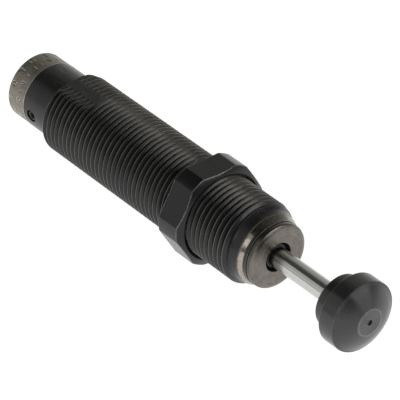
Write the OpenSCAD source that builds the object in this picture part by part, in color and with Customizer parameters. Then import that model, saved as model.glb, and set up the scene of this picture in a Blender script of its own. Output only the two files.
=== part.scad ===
// Adjustable hydraulic shock absorber with a threaded body.
//
// The axis runs along X. Stations along it are worked out from the knob's rear face
// forwards, and the model's origin lies on the axis in the lock nut's front face.

/* [Threaded body] */
// Major diameter of the body's thread
thread_d = 20; // [19:0.1:22]
// Length of the thread at full diameter, from the rear shoulder
thread_len = 65.5; // [63:0.5:75]
// Height and length of the chamfer where the thread starts at the rear
thread_chamfer = 0.5; // [0.2:0.1:0.8]
// Depth of each of the two wrench flats below the thread's crest
flats_depth = 1.05; // [0.5:0.05:1.5]
// Length of the wrench flats from the rear shoulder
flats_len = 12; // [8:0.1:20]
// Height of the step from the thread's crest down to the plain neck
neck_step = 1.7; // [1.3:0.1:2.5]
// Length of the plain neck
neck_len = 9.05; // [8:0.05:11]
// Wall between the rear shoulder and the bottom of the bore
bore_inset = 1.5; // [0.5:0.1:3]
// Height of the step from the thread's crest down to the nose
nose_step = 1.1; // [0.8:0.1:1.4]
// How much the nose's radius falls towards its front end
nose_fall = 0.25; // [0:0.05:0.5]
// Length of the taper from the thread down to the nose
runout_len = 1.5; // [0.8:0.1:2.5]
// Length of the nose
nose_len = 1.8; // [1:0.1:3]
// Length of the front chamfer
nose_chamfer = 0.95; // [0.5:0.05:1.5]
// Wall of the short lip at the front end
lip_wall = 0.95; // [0.8:0.05:1.2]
// Length of the lip
lip_len = 0.95; // [0.5:0.05:2]

/* [Lock nut] */
// Metal between the thread's crest and the nut's flats
nut_wall = 1.5; // [1.2:0.1:3]
// Height that is turned off each corner of the nut
nut_corner_cut = 0.93; // [0.3:0.01:1.2]
// Thickness of the nut
nut_t = 7; // [5:0.1:9]
// Distance from the rear shoulder to the nut's front face
nut_station = 53.2; // [40:0.1:58]
// Depth of the countersink at each end of the nut's thread
nut_sink = 0.5; // [0.2:0.1:1]

/* [Adjuster] */
// How far the knob's surface lies below the neck's
knob_step = 0.05; // [0:0.05:1]
// Length of the adjuster knob
knob_len = 6.35; // [5:0.05:9]
// Chamfer round the knob's rear edge
knob_chamfer = 0.5; // [0.2:0.1:1]
// Diameter of the shaft where it runs in the body
hub_d = 9; // [8:0.1:10]
// Diameter of the shaft's end inside the knob
stub_d = 6; // [5:0.1:7]
// Depth of the flat that keys the knob to the shaft
stub_flat = 0.6; // [0.3:0.1:1]
// Metal left behind the shaft's end in the knob
knob_floor = 1.6; // [1:0.1:2.5]
// Radial gap round the thrust flange on the shaft
flange_gap = 0.8; // [0.3:0.1:1.2]
// Thickness of the thrust flange
flange_t = 1.95; // [1.5:0.05:2.5]
// Width of the driving tongue on the shaft
tongue_w = 2.4; // [1.5:0.1:3]
// Length of the driving tongue across the shaft
tongue_len = 9; // [7:0.1:10]
// Thickness of the O-ring that seals the shaft
shaft_ring_t = 1.4; // [1:0.1:1.6]
// Distance from the neck's rear face to that O-ring's middle
shaft_ring_station = 7.05; // [5.5:0.05:8]

/* [Lock screw] */
// Diameter of the lock screw
screw_d = 3; // [2.5:0.1:3.5]
// Diameter of the screw's cup point
screw_point_d = 1.7; // [1.2:0.1:2]
// How far the screw's head lies below the neck's surface
screw_recess = 0.3; // [0:0.1:0.6]
// Distance across the flats of its hexagon socket
screw_socket_af = 1.5; // [1.2:0.1:1.6]
// Depth of its socket
screw_socket_depth = 1.6; // [1:0.1:2]
// Distance from the neck's rear face to the screw's axis
screw_station = 2.8; // [2:0.05:3.2]
// Angle of the screw below the horizontal
screw_angle = 5.5; // [0:0.5:30]
// Depth of the groove in the shaft that the screw's point enters
screw_groove = 0.4; // [0.2:0.1:0.6]

/* [Metering] */
// Bore of the pressure tube
tube_bore_d = 9; // [8.6:0.1:9.2]
// Wall of the pressure tube
tube_wall = 1.2; // [0.8:0.05:1.3]
// Thickness of the pressure tube's floor
tube_floor = 2; // [1.5:0.1:3]
// Number of metering orifices along the stroke
orifice_count = 5; // [3:1:6]
// Diameter of a metering orifice
orifice_d = 0.9; // [0.5:0.05:1]
// Wall of the metering sleeve
sleeve_wall = 0.6; // [0.4:0.05:0.7]
// Gap for the oil between the sleeve and the body's bore
oil_gap = 0.67; // [0.5:0.01:0.8]
// Thickness of the sleeve's driven end
sleeve_floor = 1.6; // [1.2:0.1:2.5]
// Length of a teardrop slot round the sleeve
slot_len = 3.2; // [2:0.1:4]
// Width of a slot at the tip of its tail
slot_tip_w = 0.2; // [0.1:0.05:0.3]

/* [Piston and rod] */
// Stroke of the piston rod
stroke = 19; // [12:0.5:20]
// Diameter of the piston rod
rod_d = 4.75; // [4:0.05:5]
// Diameter of the rod where it carries the piston
stem_d = 3.5; // [3:0.1:3.7]
// Length of the piston
piston_len = 4.7; // [4:0.1:6]
// Number of oil passages through the piston
passage_count = 6; // [4:1:8]
// Diameter of a passage
passage_d = 0.9; // [0.6:0.05:1]
// Height of the piston ring
piston_ring_h = 1.7; // [1:0.1:2]
// Radial thickness of the piston ring
piston_ring_t = 0.7; // [0.5:0.05:0.8]
// Thickness of the check disc
check_t = 0.5; // [0.3:0.05:0.8]
// Travel of the check disc off its seat
check_travel = 0.45; // [0.3:0.05:0.8]
// Thickness of the spring seat's flange
seat_t = 0.8; // [0.5:0.1:1.2]
// Wall of the spring seat's hub, on which the check disc slides
seat_hub_wall = 0.6; // [0.4:0.05:0.7]
// Gap between the return spring and the corners of the nut on the rod's stem
stem_nut_gap = 0.17; // [0.1:0.01:0.3]
// Thickness of that nut
stem_nut_t = 2; // [1.5:0.1:2.5]
// Wire diameter of the return spring
spring_wire = 0.8; // [0.6:0.05:0.85]
// Number of turns of the return spring, with its closed ends
spring_turns = 11; // [9:1:12]

/* [Front bearing] */
// Distance from the body's front end to the housing's front end
cap_spigot_len = 3; // [2.5:0.1:4]
// Length of the part of the housing that fills the bore
housing_land = 5.7; // [5:0.1:7]
// Length of the foam's space round the housing
foam_len = 10.5; // [8:0.1:12]
// Thickness of the foam
foam_t = 2.05; // [1.6:0.05:2.4]
// Thickness of the housing's rear flange
housing_flange_t = 1.5; // [1:0.1:2.5]
// Length of the spigot that enters the pressure tube
spigot_len = 2.5; // [1.5:0.1:3.5]
// Wall of the bearing bush
bush_wall = 1; // [0.8:0.05:1.2]
// Length of the bearing bush
bush_len = 11.7; // [8:0.1:12]
// Radial thickness of the rod seal
seal_t = 2; // [1.6:0.1:2.4]
// Length of the rod seal
seal_len = 3; // [2.5:0.1:3.4]
// Thickness of the O-ring round the housing
housing_ring_t = 1.2; // [0.9:0.1:1.5]

/* [Front cap] */
// How far the cap's flange lies below the lip's surface
cap_step = 0.1; // [0:0.05:0.3]
// Thickness of the cap's flange
cap_t = 1.7; // [1.4:0.1:3]
// Gap between the rod and the hole in the cap's front face
cap_hole_gap = 1.12; // [0.9:0.01:1.4]
// Width of the bevel round the cap's front face
cap_bevel = 0.95; // [0.5:0.05:1.2]
// Distance from the housing's front end to the wiper ring's seat
wiper_station = 1.1; // [0.6:0.1:1.3]
// How deep the wiper ring's seat is cut into the wall of that hole
wiper_groove = 0.7; // [0.5:0.1:1]
// Length of the wiper ring's seat
wiper_len = 2; // [1.5:0.1:2.2]

/* [Impact button] */
// Largest diameter of the button
button_d = 17; // [14:0.1:19]
// Length of the button's full diameter
button_rim_len = 4.25; // [3:0.05:6]
// Height of the step from the rim down to the rear collar
collar_step = 2.15; // [1:0.05:3]
// Length of the rear collar
collar_len = 3.6; // [2:0.1:6]
// Height of the domed front
dome_h = 2.5; // [1.5:0.1:3.5]
// Diameter of the flat that meets the load
impact_d = 6.3; // [5:0.1:8]
// Diameter of the centre hole in the flat
centre_d = 1; // [0.6:0.1:1.5]

/* [Clearances] */
// Radial clearance of a running fit
running = 0.03; // [0.02:0.01:0.05]
// End clearance between flat faces that move on each other
end_float = 0.05; // [0.03:0.01:0.1]
// Clearance between seated pieces
seat_gap = 0.01; // [0.005:0.005:0.02]

/* [Hidden] */

$fn = 96;
edge = 0.2;          // small bevel on turned edges
through = 1;         // how far a cut runs past the metal
groove_room = 0.3;   // free width beside an O-ring in its groove
sleeve_room = 0.3;   // free length between the sleeve and the bearing housing
spring_gap = 0.35;   // gap between the return spring and the pressure tube
foam_fit = 0.1;      // gaps inside and outside the foam, together
wiper_land = 0.5;    // ledges that hold the wiper ring at its inner side
button_clear = 0.3;  // gap left between the button and the cap at the end of the stroke

// Radii from the tube outwards
tube_r = tube_bore_d / 2;
tube_out_r = tube_r + tube_wall;
sleeve_r = tube_out_r + running;
sleeve_out_r = sleeve_r + sleeve_wall;
bore_r = sleeve_out_r + oil_gap;
thread_r = thread_d / 2;
neck_r = thread_r - neck_step;
nose_r = thread_r - nose_step;
lip_r = bore_r + lip_wall;
cap_r = lip_r - cap_step;
hub_r = hub_d / 2;
screw_tip_r = hub_r - screw_groove + end_float;
screw_head_r = neck_r - screw_recess;
nut_af = thread_d + 2 * nut_wall;

// Radii from the rod outwards
rod_r = rod_d / 2;
bush_in_r = rod_r + running;
bush_r = bush_in_r + bush_wall;
seal_r = bush_in_r + seal_t;
cap_hole_r = rod_r + cap_hole_gap;
wiper_r = cap_hole_r + wiper_groove;
button_r = button_d / 2;
collar_r = button_r - collar_step;

// Radii of the piston's pieces
stem_r = stem_d / 2;
piston_groove_r = tube_r - running - piston_ring_t;
seat_hub_r = stem_r + seat_hub_wall;
passage_pitch_r = (seat_hub_r + running + piston_groove_r) / 2;
spring_r = tube_r - spring_gap - spring_wire / 2;
stem_nut_af = 2 * (spring_r - spring_wire / 2 - stem_nut_gap) * cos(30);

// Stations from the knob's rear face: the body
neck_at = knob_len + end_float;
shoulder_at = neck_at + neck_len;
floor_at = shoulder_at + bore_inset;
thread_end_at = shoulder_at + thread_len;
nose_at = thread_end_at + runout_len;
nose_end_at = nose_at + nose_len;
lip_at = nose_end_at + nose_chamfer;
body_end_at = lip_at + lip_len;
origin_at = shoulder_at + nut_station;

// The adjuster, from the bottom of the bore forwards
flange_at = floor_at + end_float;
sleeve_at = flange_at + flange_t;
tube_at = sleeve_at + sleeve_floor + end_float;
tube_floor_at = tube_at + tube_floor;
screw_at = neck_at + screw_station;
shaft_ring_at = neck_at + shaft_ring_station;

// The front end, from the body's front end backwards
housing_end_at = body_end_at - cap_spigot_len;
foam_end_at = housing_end_at - housing_land;
foam_at = foam_end_at - foam_len;
housing_flange_at = foam_at - housing_flange_t;
spigot_at = housing_flange_at - spigot_len;
cap_front_at = body_end_at + cap_t;
wiper_at = housing_end_at + wiper_station;
wiper_end_at = wiper_at + wiper_len;
seal_at = foam_end_at + edge;

// The rod's pieces, from the piston's front stop backwards
piston_front_at = spigot_at - end_float;
piston_rear_at = piston_front_at - piston_len;
seat_hub_len = check_t + check_travel + end_float;
seat_flange_at = piston_rear_at - seat_hub_len - seat_t;
stem_nut_at = seat_flange_at - stem_nut_t;
stem_at = stem_nut_at - edge;
button_at = cap_front_at + stroke + button_clear;
rim_at = button_at + collar_len;
dome_at = rim_at + button_rim_len;
impact_at = dome_at + dome_h;
rod_end_at = dome_at - edge;

// A piece turned on the axis: points are [radius, station]
module turned(profile) {
    translate([-origin_at, 0, 0]) rotate([0, 90, 0]) rotate_extrude() polygon(profile);
}

// A plain ring between two stations
module ring(from, to, inner_r, outer_r) {
    turned([[inner_r, from], [outer_r, from], [outer_r, to], [inner_r, to]]);
}

// An O-ring of round section whose outside just reaches outer_r
module o_ring(station, section, outer_r) {
    translate([station - origin_at, 0, 0]) rotate([0, 90, 0]) rotate_extrude()
        translate([outer_r - section / 2, 0]) circle(d = section, $fn = 48);
}

// Runs its children out along X, like a hexagon or a slot drawn in the Y-Z plane
module along(from, to) {
    translate([from - origin_at, 0, 0]) rotate([90, 0, 90]) linear_extrude(to - from) children();
}

// A regular hexagon with one pair of flats level
module hexagon(af) {
    circle(d = af / cos(30), $fn = 6);
}

// Round holes parallel to the axis, on a circle
module axial_holes(from, to, count, pitch_r, d) {
    for (i = [0 : count - 1])
        translate([from - origin_at, 0, 0]) rotate([i * 360 / count, 0, 0])
            translate([0, 0, pitch_r]) rotate([0, 90, 0]) cylinder(h = to - from, d = d, $fn = 24);
}

// Places its children on the lock screw's axis, which then points outwards along Z
module on_screw_axis() {
    translate([screw_at - origin_at, 0, 0]) rotate([90 + screw_angle, 0, 0]) children();
}

// Stations of the metering orifices: their spacing closes up towards the end of the stroke
function orifice_at(k) = piston_rear_at - stroke * (1 - pow(1 - k / (orifice_count + 1), 2));

// The two wrench flats lie square to the lock screw
module wrench_flats() {
    for (side = [-1, 1])
        rotate([screw_angle, 0, 0]) scale([1, 1, side])
            translate([shoulder_at - through - origin_at, -thread_r, thread_r - flats_depth])
                cube([flats_len + through, thread_d, thread_r]);
}

module outer_body() color("#37373a") difference() {
    turned([
        [hub_r + running, neck_at],
        [neck_r - edge, neck_at],
        [neck_r, neck_at + edge],
        [neck_r, shoulder_at],
        [thread_r - thread_chamfer, shoulder_at],
        [thread_r, shoulder_at + thread_chamfer],
        [thread_r, thread_end_at],
        [nose_r, nose_at],
        [nose_r - nose_fall, nose_end_at],
        [lip_r, lip_at],
        [lip_r, body_end_at],
        [bore_r, body_end_at],
        [bore_r, floor_at],
        [hub_r + running, floor_at]
    ]);
    wrench_flats();
    on_screw_axis() cylinder(h = thread_d, d = screw_d + 2 * running);
}

module lock_nut() color("#2d2d30") {
    corner_r = nut_af / 2 / cos(30) - nut_corner_cut;
    bore = thread_r + running;
    nut_at = origin_at - nut_t;
    intersection() {
        along(nut_at, origin_at) hexagon(nut_af);
        turned([
            [bore + nut_sink, nut_at],
            [corner_r - edge, nut_at],
            [corner_r, nut_at + edge],
            [corner_r, origin_at - edge],
            [corner_r - edge, origin_at],
            [bore + nut_sink, origin_at],
            [bore, origin_at - nut_sink],
            [bore, nut_at + nut_sink]
        ]);
    }
}

// The shaft's end and the knob's blind hole share this D-shaped outline
module stub_outline(extra) {
    intersection() {
        circle(d = stub_d + 2 * extra);
        translate([-stub_d, -stub_d]) square([2 * stub_d, 1.5 * stub_d - stub_flat + extra]);
    }
}

module adjuster_knob() color("#77726a") {
    knob_r = neck_r - knob_step;
    difference() {
        turned([
            [0, 0],
            [knob_r - knob_chamfer, 0],
            [knob_r, knob_chamfer],
            [knob_r, knob_len - edge],
            [knob_r - edge, knob_len],
            [0, knob_len]
        ]);
        along(knob_floor, knob_len + through) stub_outline(seat_gap);
    }
}

module adjuster_shaft() color("#a8a49c") {
    ring_groove_w = shaft_ring_t + groove_room;
    ring_groove_r = hub_r - shaft_ring_t - seat_gap;
    screw_groove_w = screw_point_d + 2 * (screw_groove + end_float);
    groove_r = hub_r - screw_groove;
    along(knob_floor + seat_gap, knob_len) stub_outline(0);
    turned([
        [0, knob_len],
        [hub_r, knob_len],
        [hub_r, screw_at - screw_groove_w / 2],
        [groove_r, screw_at - screw_groove_w / 2],
        [groove_r, screw_at + screw_groove_w / 2],
        [hub_r, screw_at + screw_groove_w / 2],
        [hub_r, shaft_ring_at - ring_groove_w / 2],
        [ring_groove_r, shaft_ring_at - ring_groove_w / 2],
        [ring_groove_r, shaft_ring_at + ring_groove_w / 2],
        [hub_r, shaft_ring_at + ring_groove_w / 2],
        [hub_r, flange_at],
        [bore_r - flange_gap, flange_at],
        [bore_r - flange_gap, sleeve_at],
        [0, sleeve_at]
    ]);
    along(sleeve_at, sleeve_at + sleeve_floor - seat_gap) square([tongue_len, tongue_w], center = true);
}

module adjuster_o_ring() color("#1c1c1c") {
    o_ring(shaft_ring_at, shaft_ring_t, hub_r);
}

// Orifice with a tail that runs round the sleeve, so that turning the sleeve opens it gradually
module teardrop_slot() {
    r = orifice_d / 2;
    circle(r = r, $fn = 24);
    polygon([[-r, 0], [r, 0], [slot_tip_w / 2, slot_len], [-slot_tip_w / 2, slot_len]]);
}

module metering_sleeve() color("#b59a5c") difference() {
    turned([
        [0, sleeve_at],
        [sleeve_out_r, sleeve_at],
        [sleeve_out_r, housing_flange_at - sleeve_room],
        [sleeve_r, housing_flange_at - sleeve_room],
        [sleeve_r, sleeve_at + sleeve_floor],
        [0, sleeve_at + sleeve_floor]
    ]);
    along(sleeve_at - through, sleeve_at + sleeve_floor + through)
        square([tongue_len + 2 * seat_gap, tongue_w + 2 * seat_gap], center = true);
    for (k = [1 : orifice_count])
        translate([orifice_at(k) - origin_at, 0, 0]) linear_extrude(thread_d) teardrop_slot();
}

module lock_screw() color("#242426") {
    r = screw_d / 2;
    point_r = screw_point_d / 2;
    bevel = 0.3;
    on_screw_axis() difference() {
        rotate_extrude($fn = 48) polygon([
            [0, screw_tip_r + bevel],
            [point_r - edge, screw_tip_r],
            [point_r, screw_tip_r],
            [r, screw_tip_r + r - point_r],
            [r, screw_head_r - bevel],
            [r - bevel, screw_head_r],
            [0, screw_head_r]
        ]);
        translate([0, 0, screw_head_r - screw_socket_depth])
            cylinder(h = screw_socket_depth + through, d = screw_socket_af / cos(30), $fn = 6);
    }
}

module pressure_tube() color("#9a9a98") difference() {
    turned([
        [0, tube_at],
        [tube_out_r, tube_at],
        [tube_out_r, housing_flange_at],
        [tube_r, housing_flange_at],
        [tube_r, tube_floor_at],
        [0, tube_floor_at]
    ]);
    for (k = [1 : orifice_count])
        translate([orifice_at(k) - origin_at, 0, 0]) cylinder(h = thread_d, d = orifice_d, $fn = 24);
}

// The spring is a round wire swept along a helix whose first and last turns lie closed
spring_sides = 8;
spring_steps = 16;
spring_from = tube_floor_at + spring_wire / 2 + end_float;
spring_to = seat_flange_at - spring_wire / 2 - end_float;
closed_rise = spring_wire * 1.05;
open_rise = (spring_to - spring_from - 2 * closed_rise) / (spring_turns - 2);

// Station of the wire's middle after a number of turns
function spring_station(turn) = spring_from
    + closed_rise * min(turn, 1)
    + open_rise * max(0, min(turn, spring_turns - 1) - 1)
    + closed_rise * max(0, turn - spring_turns + 1);

// A point on the wire: the section lies in the plane through the axis
function spring_point(turn, side) = let (
        a = 360 * turn,
        b = 360 * side / spring_sides,
        r = spring_r + spring_wire / 2 * cos(b)
    ) [spring_station(turn) + spring_wire / 2 * sin(b) - origin_at, r * cos(a), r * sin(a)];

module return_spring() color("#8d8f92") {
    rings = floor(spring_turns * spring_steps);
    points = [
        for (i = [0 : rings], s = [0 : spring_sides - 1]) spring_point(i / spring_steps, s)
    ];
    walls = [
        for (i = [0 : rings - 1], s = [0 : spring_sides - 1]) let (
            a = i * spring_sides + s,
            b = i * spring_sides + (s + 1) % spring_sides
        ) [a, b, b + spring_sides, a + spring_sides]
    ];
    first = [for (s = [spring_sides - 1 : -1 : 0]) s];
    last = [for (s = [0 : spring_sides - 1]) rings * spring_sides + s];
    polyhedron(points, concat([first], walls, [last]));
}

module piston_rod() color("#d8d9db") turned([
    [0, stem_at],
    [stem_r - edge, stem_at],
    [stem_r, stem_at + edge],
    [stem_r, piston_front_at],
    [rod_r, piston_front_at],
    [rod_r, rod_end_at - edge],
    [rod_r - edge, rod_end_at],
    [0, rod_end_at]
]);

module piston() color("#8c8a86") {
    groove_from = (piston_front_at + piston_rear_at - piston_ring_h) / 2;
    groove_to = groove_from + piston_ring_h;
    difference() {
        turned([
            [stem_r + seat_gap, piston_rear_at],
            [tube_r - 2 * running, piston_rear_at],
            [tube_r - 2 * running, groove_from],
            [piston_groove_r, groove_from],
            [piston_groove_r, groove_to],
            [tube_r - 2 * running, groove_to],
            [tube_r - 2 * running, piston_front_at],
            [stem_r + seat_gap, piston_front_at]
        ]);
        axial_holes(piston_rear_at - through, piston_front_at + through, passage_count, passage_pitch_r,
            passage_d);
    }
}

module piston_ring() color("#e6e2d8") {
    middle = (piston_front_at + piston_rear_at) / 2;
    half = piston_ring_h / 2 - seat_gap;
    ring(middle - half, middle + half, piston_groove_r + seat_gap, tube_r - running);
}

module check_disc() color("#b9b6ae") {
    ring(piston_rear_at - seat_gap - check_t, piston_rear_at - seat_gap, seat_hub_r + running,
        passage_pitch_r + passage_d / 2 + 2 * edge);
}

module spring_seat() color("#7f8083") difference() {
    turned([
        [stem_r + seat_gap, seat_flange_at],
        [spring_r + spring_wire / 2, seat_flange_at],
        [spring_r + spring_wire / 2, seat_flange_at + seat_t],
        [seat_hub_r, seat_flange_at + seat_t],
        [seat_hub_r, piston_rear_at],
        [stem_r + seat_gap, piston_rear_at]
    ]);
    axial_holes(seat_flange_at - through, seat_flange_at + seat_t + edge, passage_count, passage_pitch_r,
        passage_d - edge);
}

module piston_nut() color("#6f7174") difference() {
    along(stem_nut_at, seat_flange_at) hexagon(stem_nut_af);
    ring(stem_nut_at - through, seat_flange_at + through, 0, stem_r + seat_gap);
}

module bearing_housing() color("#8b857b") {
    groove_r = bore_r - housing_ring_t - 2 * seat_gap;
    groove_w = housing_ring_t + groove_room;
    ring_mid = (foam_end_at + housing_end_at) / 2;
    land_r = bore_r - seat_gap;
    flange_r = bore_r - 2 * edge;
    slot_count = 4;
    slot_w = 2;
    difference() {
        turned([
            [bush_r, spigot_at],
            [tube_r - seat_gap, spigot_at],
            [tube_r - seat_gap, housing_flange_at],
            [flange_r, housing_flange_at],
            [flange_r, foam_at],
            [bore_r - foam_t - foam_fit, foam_at],
            [bore_r - foam_t - foam_fit, foam_end_at],
            [land_r, foam_end_at],
            [land_r, ring_mid - groove_w / 2],
            [groove_r, ring_mid - groove_w / 2],
            [groove_r, ring_mid + groove_w / 2],
            [land_r, ring_mid + groove_w / 2],
            [land_r, housing_end_at],
            [seal_r, housing_end_at],
            [seal_r, seal_at],
            [rod_r + edge, seal_at],
            [rod_r + edge, spigot_at + bush_len],
            [bush_r, spigot_at + bush_len]
        ]);
        for (i = [0 : slot_count - 1])
            rotate([45 + i * 360 / slot_count, 0, 0])
                translate([spigot_at - through - origin_at, -slot_w / 2, bush_r + 3 * edge])
                    cube([spigot_len + housing_flange_t + through + edge, slot_w, bore_r]);
    }
}

module rod_bearing() color("#a9803f") {
    ring(spigot_at + edge, spigot_at + bush_len - seat_gap, bush_in_r, bush_r - seat_gap);
}

module housing_o_ring() color("#1c1c1c") {
    o_ring((foam_end_at + housing_end_at) / 2, housing_ring_t, bore_r - seat_gap);
}

module accumulator_foam() color("#4a5560") {
    ring(foam_at + edge, foam_end_at - edge, bore_r - foam_t - foam_fit / 2, bore_r - foam_fit / 2);
}

module rod_seal() color("#3f7d5a") {
    from = seal_at + seat_gap;
    to = from + seal_len;
    outer = seal_r - seat_gap;
    lip = bush_in_r;
    third = (outer - lip) / 3;
    turned([
        [lip, from],
        [lip + third, from],
        [lip + 1.5 * third, from + seal_len * 0.5],
        [outer - third, from],
        [outer, from],
        [outer, to],
        [lip + third / 2, to],
        [lip + third / 2, from + seal_len * 0.45],
        [lip, from + seal_len * 0.3]
    ]);
}

module seal_washer() color("#c9c6bd") {
    ring(seal_at + seal_len + 2 * seat_gap, housing_end_at - seat_gap, rod_r + edge, seal_r - seat_gap);
}

module front_cap() color("#6f6a63") {
    undercut = 0.25;
    turned([
        [cap_hole_r - wiper_land, housing_end_at],
        [bore_r - seat_gap, housing_end_at],
        [bore_r - seat_gap, body_end_at],
        [cap_r - undercut, body_end_at],
        [cap_r - undercut, body_end_at + undercut],
        [cap_r, body_end_at + undercut],
        [cap_r, cap_front_at - cap_bevel / 2],
        [cap_r - cap_bevel, cap_front_at],
        [cap_hole_r, cap_front_at],
        [cap_hole_r, wiper_end_at],
        [wiper_r, wiper_end_at],
        [wiper_r, wiper_end_at - wiper_len],
        [cap_hole_r - wiper_land, wiper_end_at - wiper_len]
    ]);
}

module wiper_ring() color("#202021") {
    from = wiper_at + seat_gap;
    to = wiper_end_at - seat_gap;
    lip = bush_in_r;
    lip_t = 0.35;
    lip_end = to + 0.8;
    lip_root = from + 1.3;
    turned([
        [cap_hole_r - wiper_land, from],
        [wiper_r - seat_gap, from],
        [wiper_r - seat_gap, to],
        [cap_hole_r - edge, to],
        [lip + lip_t, lip_end],
        [lip, lip_end],
        [lip, lip_end - 0.5],
        [cap_hole_r - wiper_land, lip_root]
    ]);
}

// The dome is an arc from the rim to the flat, bulging a little past the straight cone
dome_steps = 8;
dome_bulge = 0.25;
function dome_point(t) = [
    button_r + (impact_d / 2 - button_r) * t + dome_bulge * sin(180 * t) * 0.4,
    dome_at + dome_h * t + dome_bulge * sin(180 * t)
];

module impact_button() color("#29292b") turned(concat(
    [
        [rod_r + seat_gap, button_at],
        [collar_r - edge, button_at],
        [collar_r, button_at + edge],
        [collar_r, rim_at],
        [button_r - edge, rim_at],
        [button_r, rim_at + edge]
    ],
    [for (i = [0 : dome_steps]) dome_point(i / dome_steps)],
    [
        [centre_d / 2, impact_at],
        [0, impact_at - centre_d],
        [0, rod_end_at],
        [rod_r + seat_gap, rod_end_at]
    ]
));

outer_body();
lock_nut();
adjuster_knob();
adjuster_shaft();
adjuster_o_ring();
metering_sleeve();
lock_screw();
pressure_tube();
return_spring();
piston_rod();
piston();
piston_ring();
check_disc();
spring_seat();
piston_nut();
bearing_housing();
rod_bearing();
housing_o_ring();
accumulator_foam();
rod_seal();
seal_washer();
front_cap();
wiper_ring();
impact_button();
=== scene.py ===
"""Looks of an adjustable hydraulic shock absorber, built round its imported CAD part.

The axis runs along X, with the adjuster knob at the rear and the load button in front. Sizes in
this file are millimetres and places along the axis are counted from the CAD boxes; a mesh is
scaled to metres when it is made.
"""

from __future__ import annotations

import logging
import math
from dataclasses import dataclass
from enum import Enum
from functools import cached_property, partial
from typing import Any, Iterable, Mapping, Sequence, Union

import bmesh
import bpy
import numpy as np
from mathutils import Matrix, Vector

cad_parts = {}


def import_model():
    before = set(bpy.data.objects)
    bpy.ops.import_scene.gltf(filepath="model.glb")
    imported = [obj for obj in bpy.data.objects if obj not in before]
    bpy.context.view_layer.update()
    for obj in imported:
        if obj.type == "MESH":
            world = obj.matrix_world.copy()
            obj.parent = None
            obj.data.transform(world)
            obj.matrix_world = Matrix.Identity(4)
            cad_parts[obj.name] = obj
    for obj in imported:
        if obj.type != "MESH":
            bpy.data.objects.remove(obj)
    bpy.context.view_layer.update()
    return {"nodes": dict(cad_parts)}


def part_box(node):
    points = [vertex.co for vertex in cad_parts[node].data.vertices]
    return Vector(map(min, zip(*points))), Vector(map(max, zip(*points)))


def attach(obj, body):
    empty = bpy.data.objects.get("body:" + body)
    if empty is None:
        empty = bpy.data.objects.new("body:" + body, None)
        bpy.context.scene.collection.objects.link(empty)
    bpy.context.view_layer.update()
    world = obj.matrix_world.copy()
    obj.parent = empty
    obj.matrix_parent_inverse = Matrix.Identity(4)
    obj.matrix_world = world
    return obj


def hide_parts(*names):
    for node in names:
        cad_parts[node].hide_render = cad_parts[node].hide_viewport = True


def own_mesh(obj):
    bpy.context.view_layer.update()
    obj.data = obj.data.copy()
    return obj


log = logging.getLogger("shock_absorber")

MM = 0.001
WELD = 0.0004 * MM
TAN_30 = math.tan(math.radians(30))

Item = bpy.types.Object
Tree = bpy.types.NodeTree
Node = bpy.types.Node
Source = Union[bpy.types.Node, bpy.types.NodeSocket]


# ---------------------------------------------------------------- measures from the CAD frame


@dataclass(frozen=True)
class Span:
    """Where a CAD node lies on the axis, in millimetres."""

    rear: float
    front: float
    radius: float

    @classmethod
    def of(cls, node: str) -> Span:
        """Reads the box of a CAD node: its rear and front stations and its largest radius."""
        low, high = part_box(node)
        return cls(low.x / MM, high.x / MM, max(high.y, high.z) / MM)


# ---------------------------------------------------------------- surfaces


@dataclass
class Surface:
    """Points and quads of a surface in millimetres, with one value per point for its finish."""

    points: np.ndarray
    faces: np.ndarray
    mark: np.ndarray | None = None

    @classmethod
    def of_grid(
        cls, points: np.ndarray, wrap: int | None = None, mark: np.ndarray | None = None
    ) -> Surface:
        """Lays quads between neighbouring points of a grid.

        Args:
            points: points by row and column; rows run round the axis, columns along a profile.
            wrap: how many columns the first row is moved by where it follows the last one; None
                leaves the grid open.
            mark: values by row and column.

        Returns:
            The grid's surface.
        """
        rows, columns = points.shape[:2]
        index = np.arange(rows * columns).reshape(rows, columns)
        strips = [(index[:-1], index[1:])]
        if wrap is not None:
            strips.append((index[-1:, : columns - wrap], index[:1, wrap:]))
        quads = [np.stack([a[:, :-1], b[:, :-1], b[:, 1:], a[:, 1:]], axis=-1) for a, b in strips]
        faces = np.concatenate([quad.reshape(-1, 4) for quad in quads])
        return cls(points.reshape(-1, 3), faces, None if mark is None else mark.reshape(-1))

    def joined(self, *others: Surface) -> Surface:
        """Puts several surfaces into one.

        Args:
            others: surfaces to add.

        Returns:
            One surface that holds all points and faces.
        """
        parts = [self, *others]
        starts = np.cumsum([0] + [len(p.points) for p in parts[:-1]])
        marks = [np.zeros(len(p.points)) if p.mark is None else p.mark for p in parts]
        faces = np.vstack([p.faces + s for p, s in zip(parts, starts)])
        return Surface(np.vstack([p.points for p in parts]), faces, np.concatenate(marks))


def polar(station: np.ndarray, radius: np.ndarray, angle: np.ndarray) -> np.ndarray:
    """Points from stations, radii and angles: (x, r cos a, r sin a).

    Args:
        station: places along the axis.
        radius: distances from the axis.
        angle: angles round the axis, from +Y towards +Z.

    Returns:
        Points, three numbers each.
    """
    station, radius, angle = np.broadcast_arrays(station, radius, angle)
    return np.stack([station, radius * np.cos(angle), radius * np.sin(angle)], axis=-1)


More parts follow.
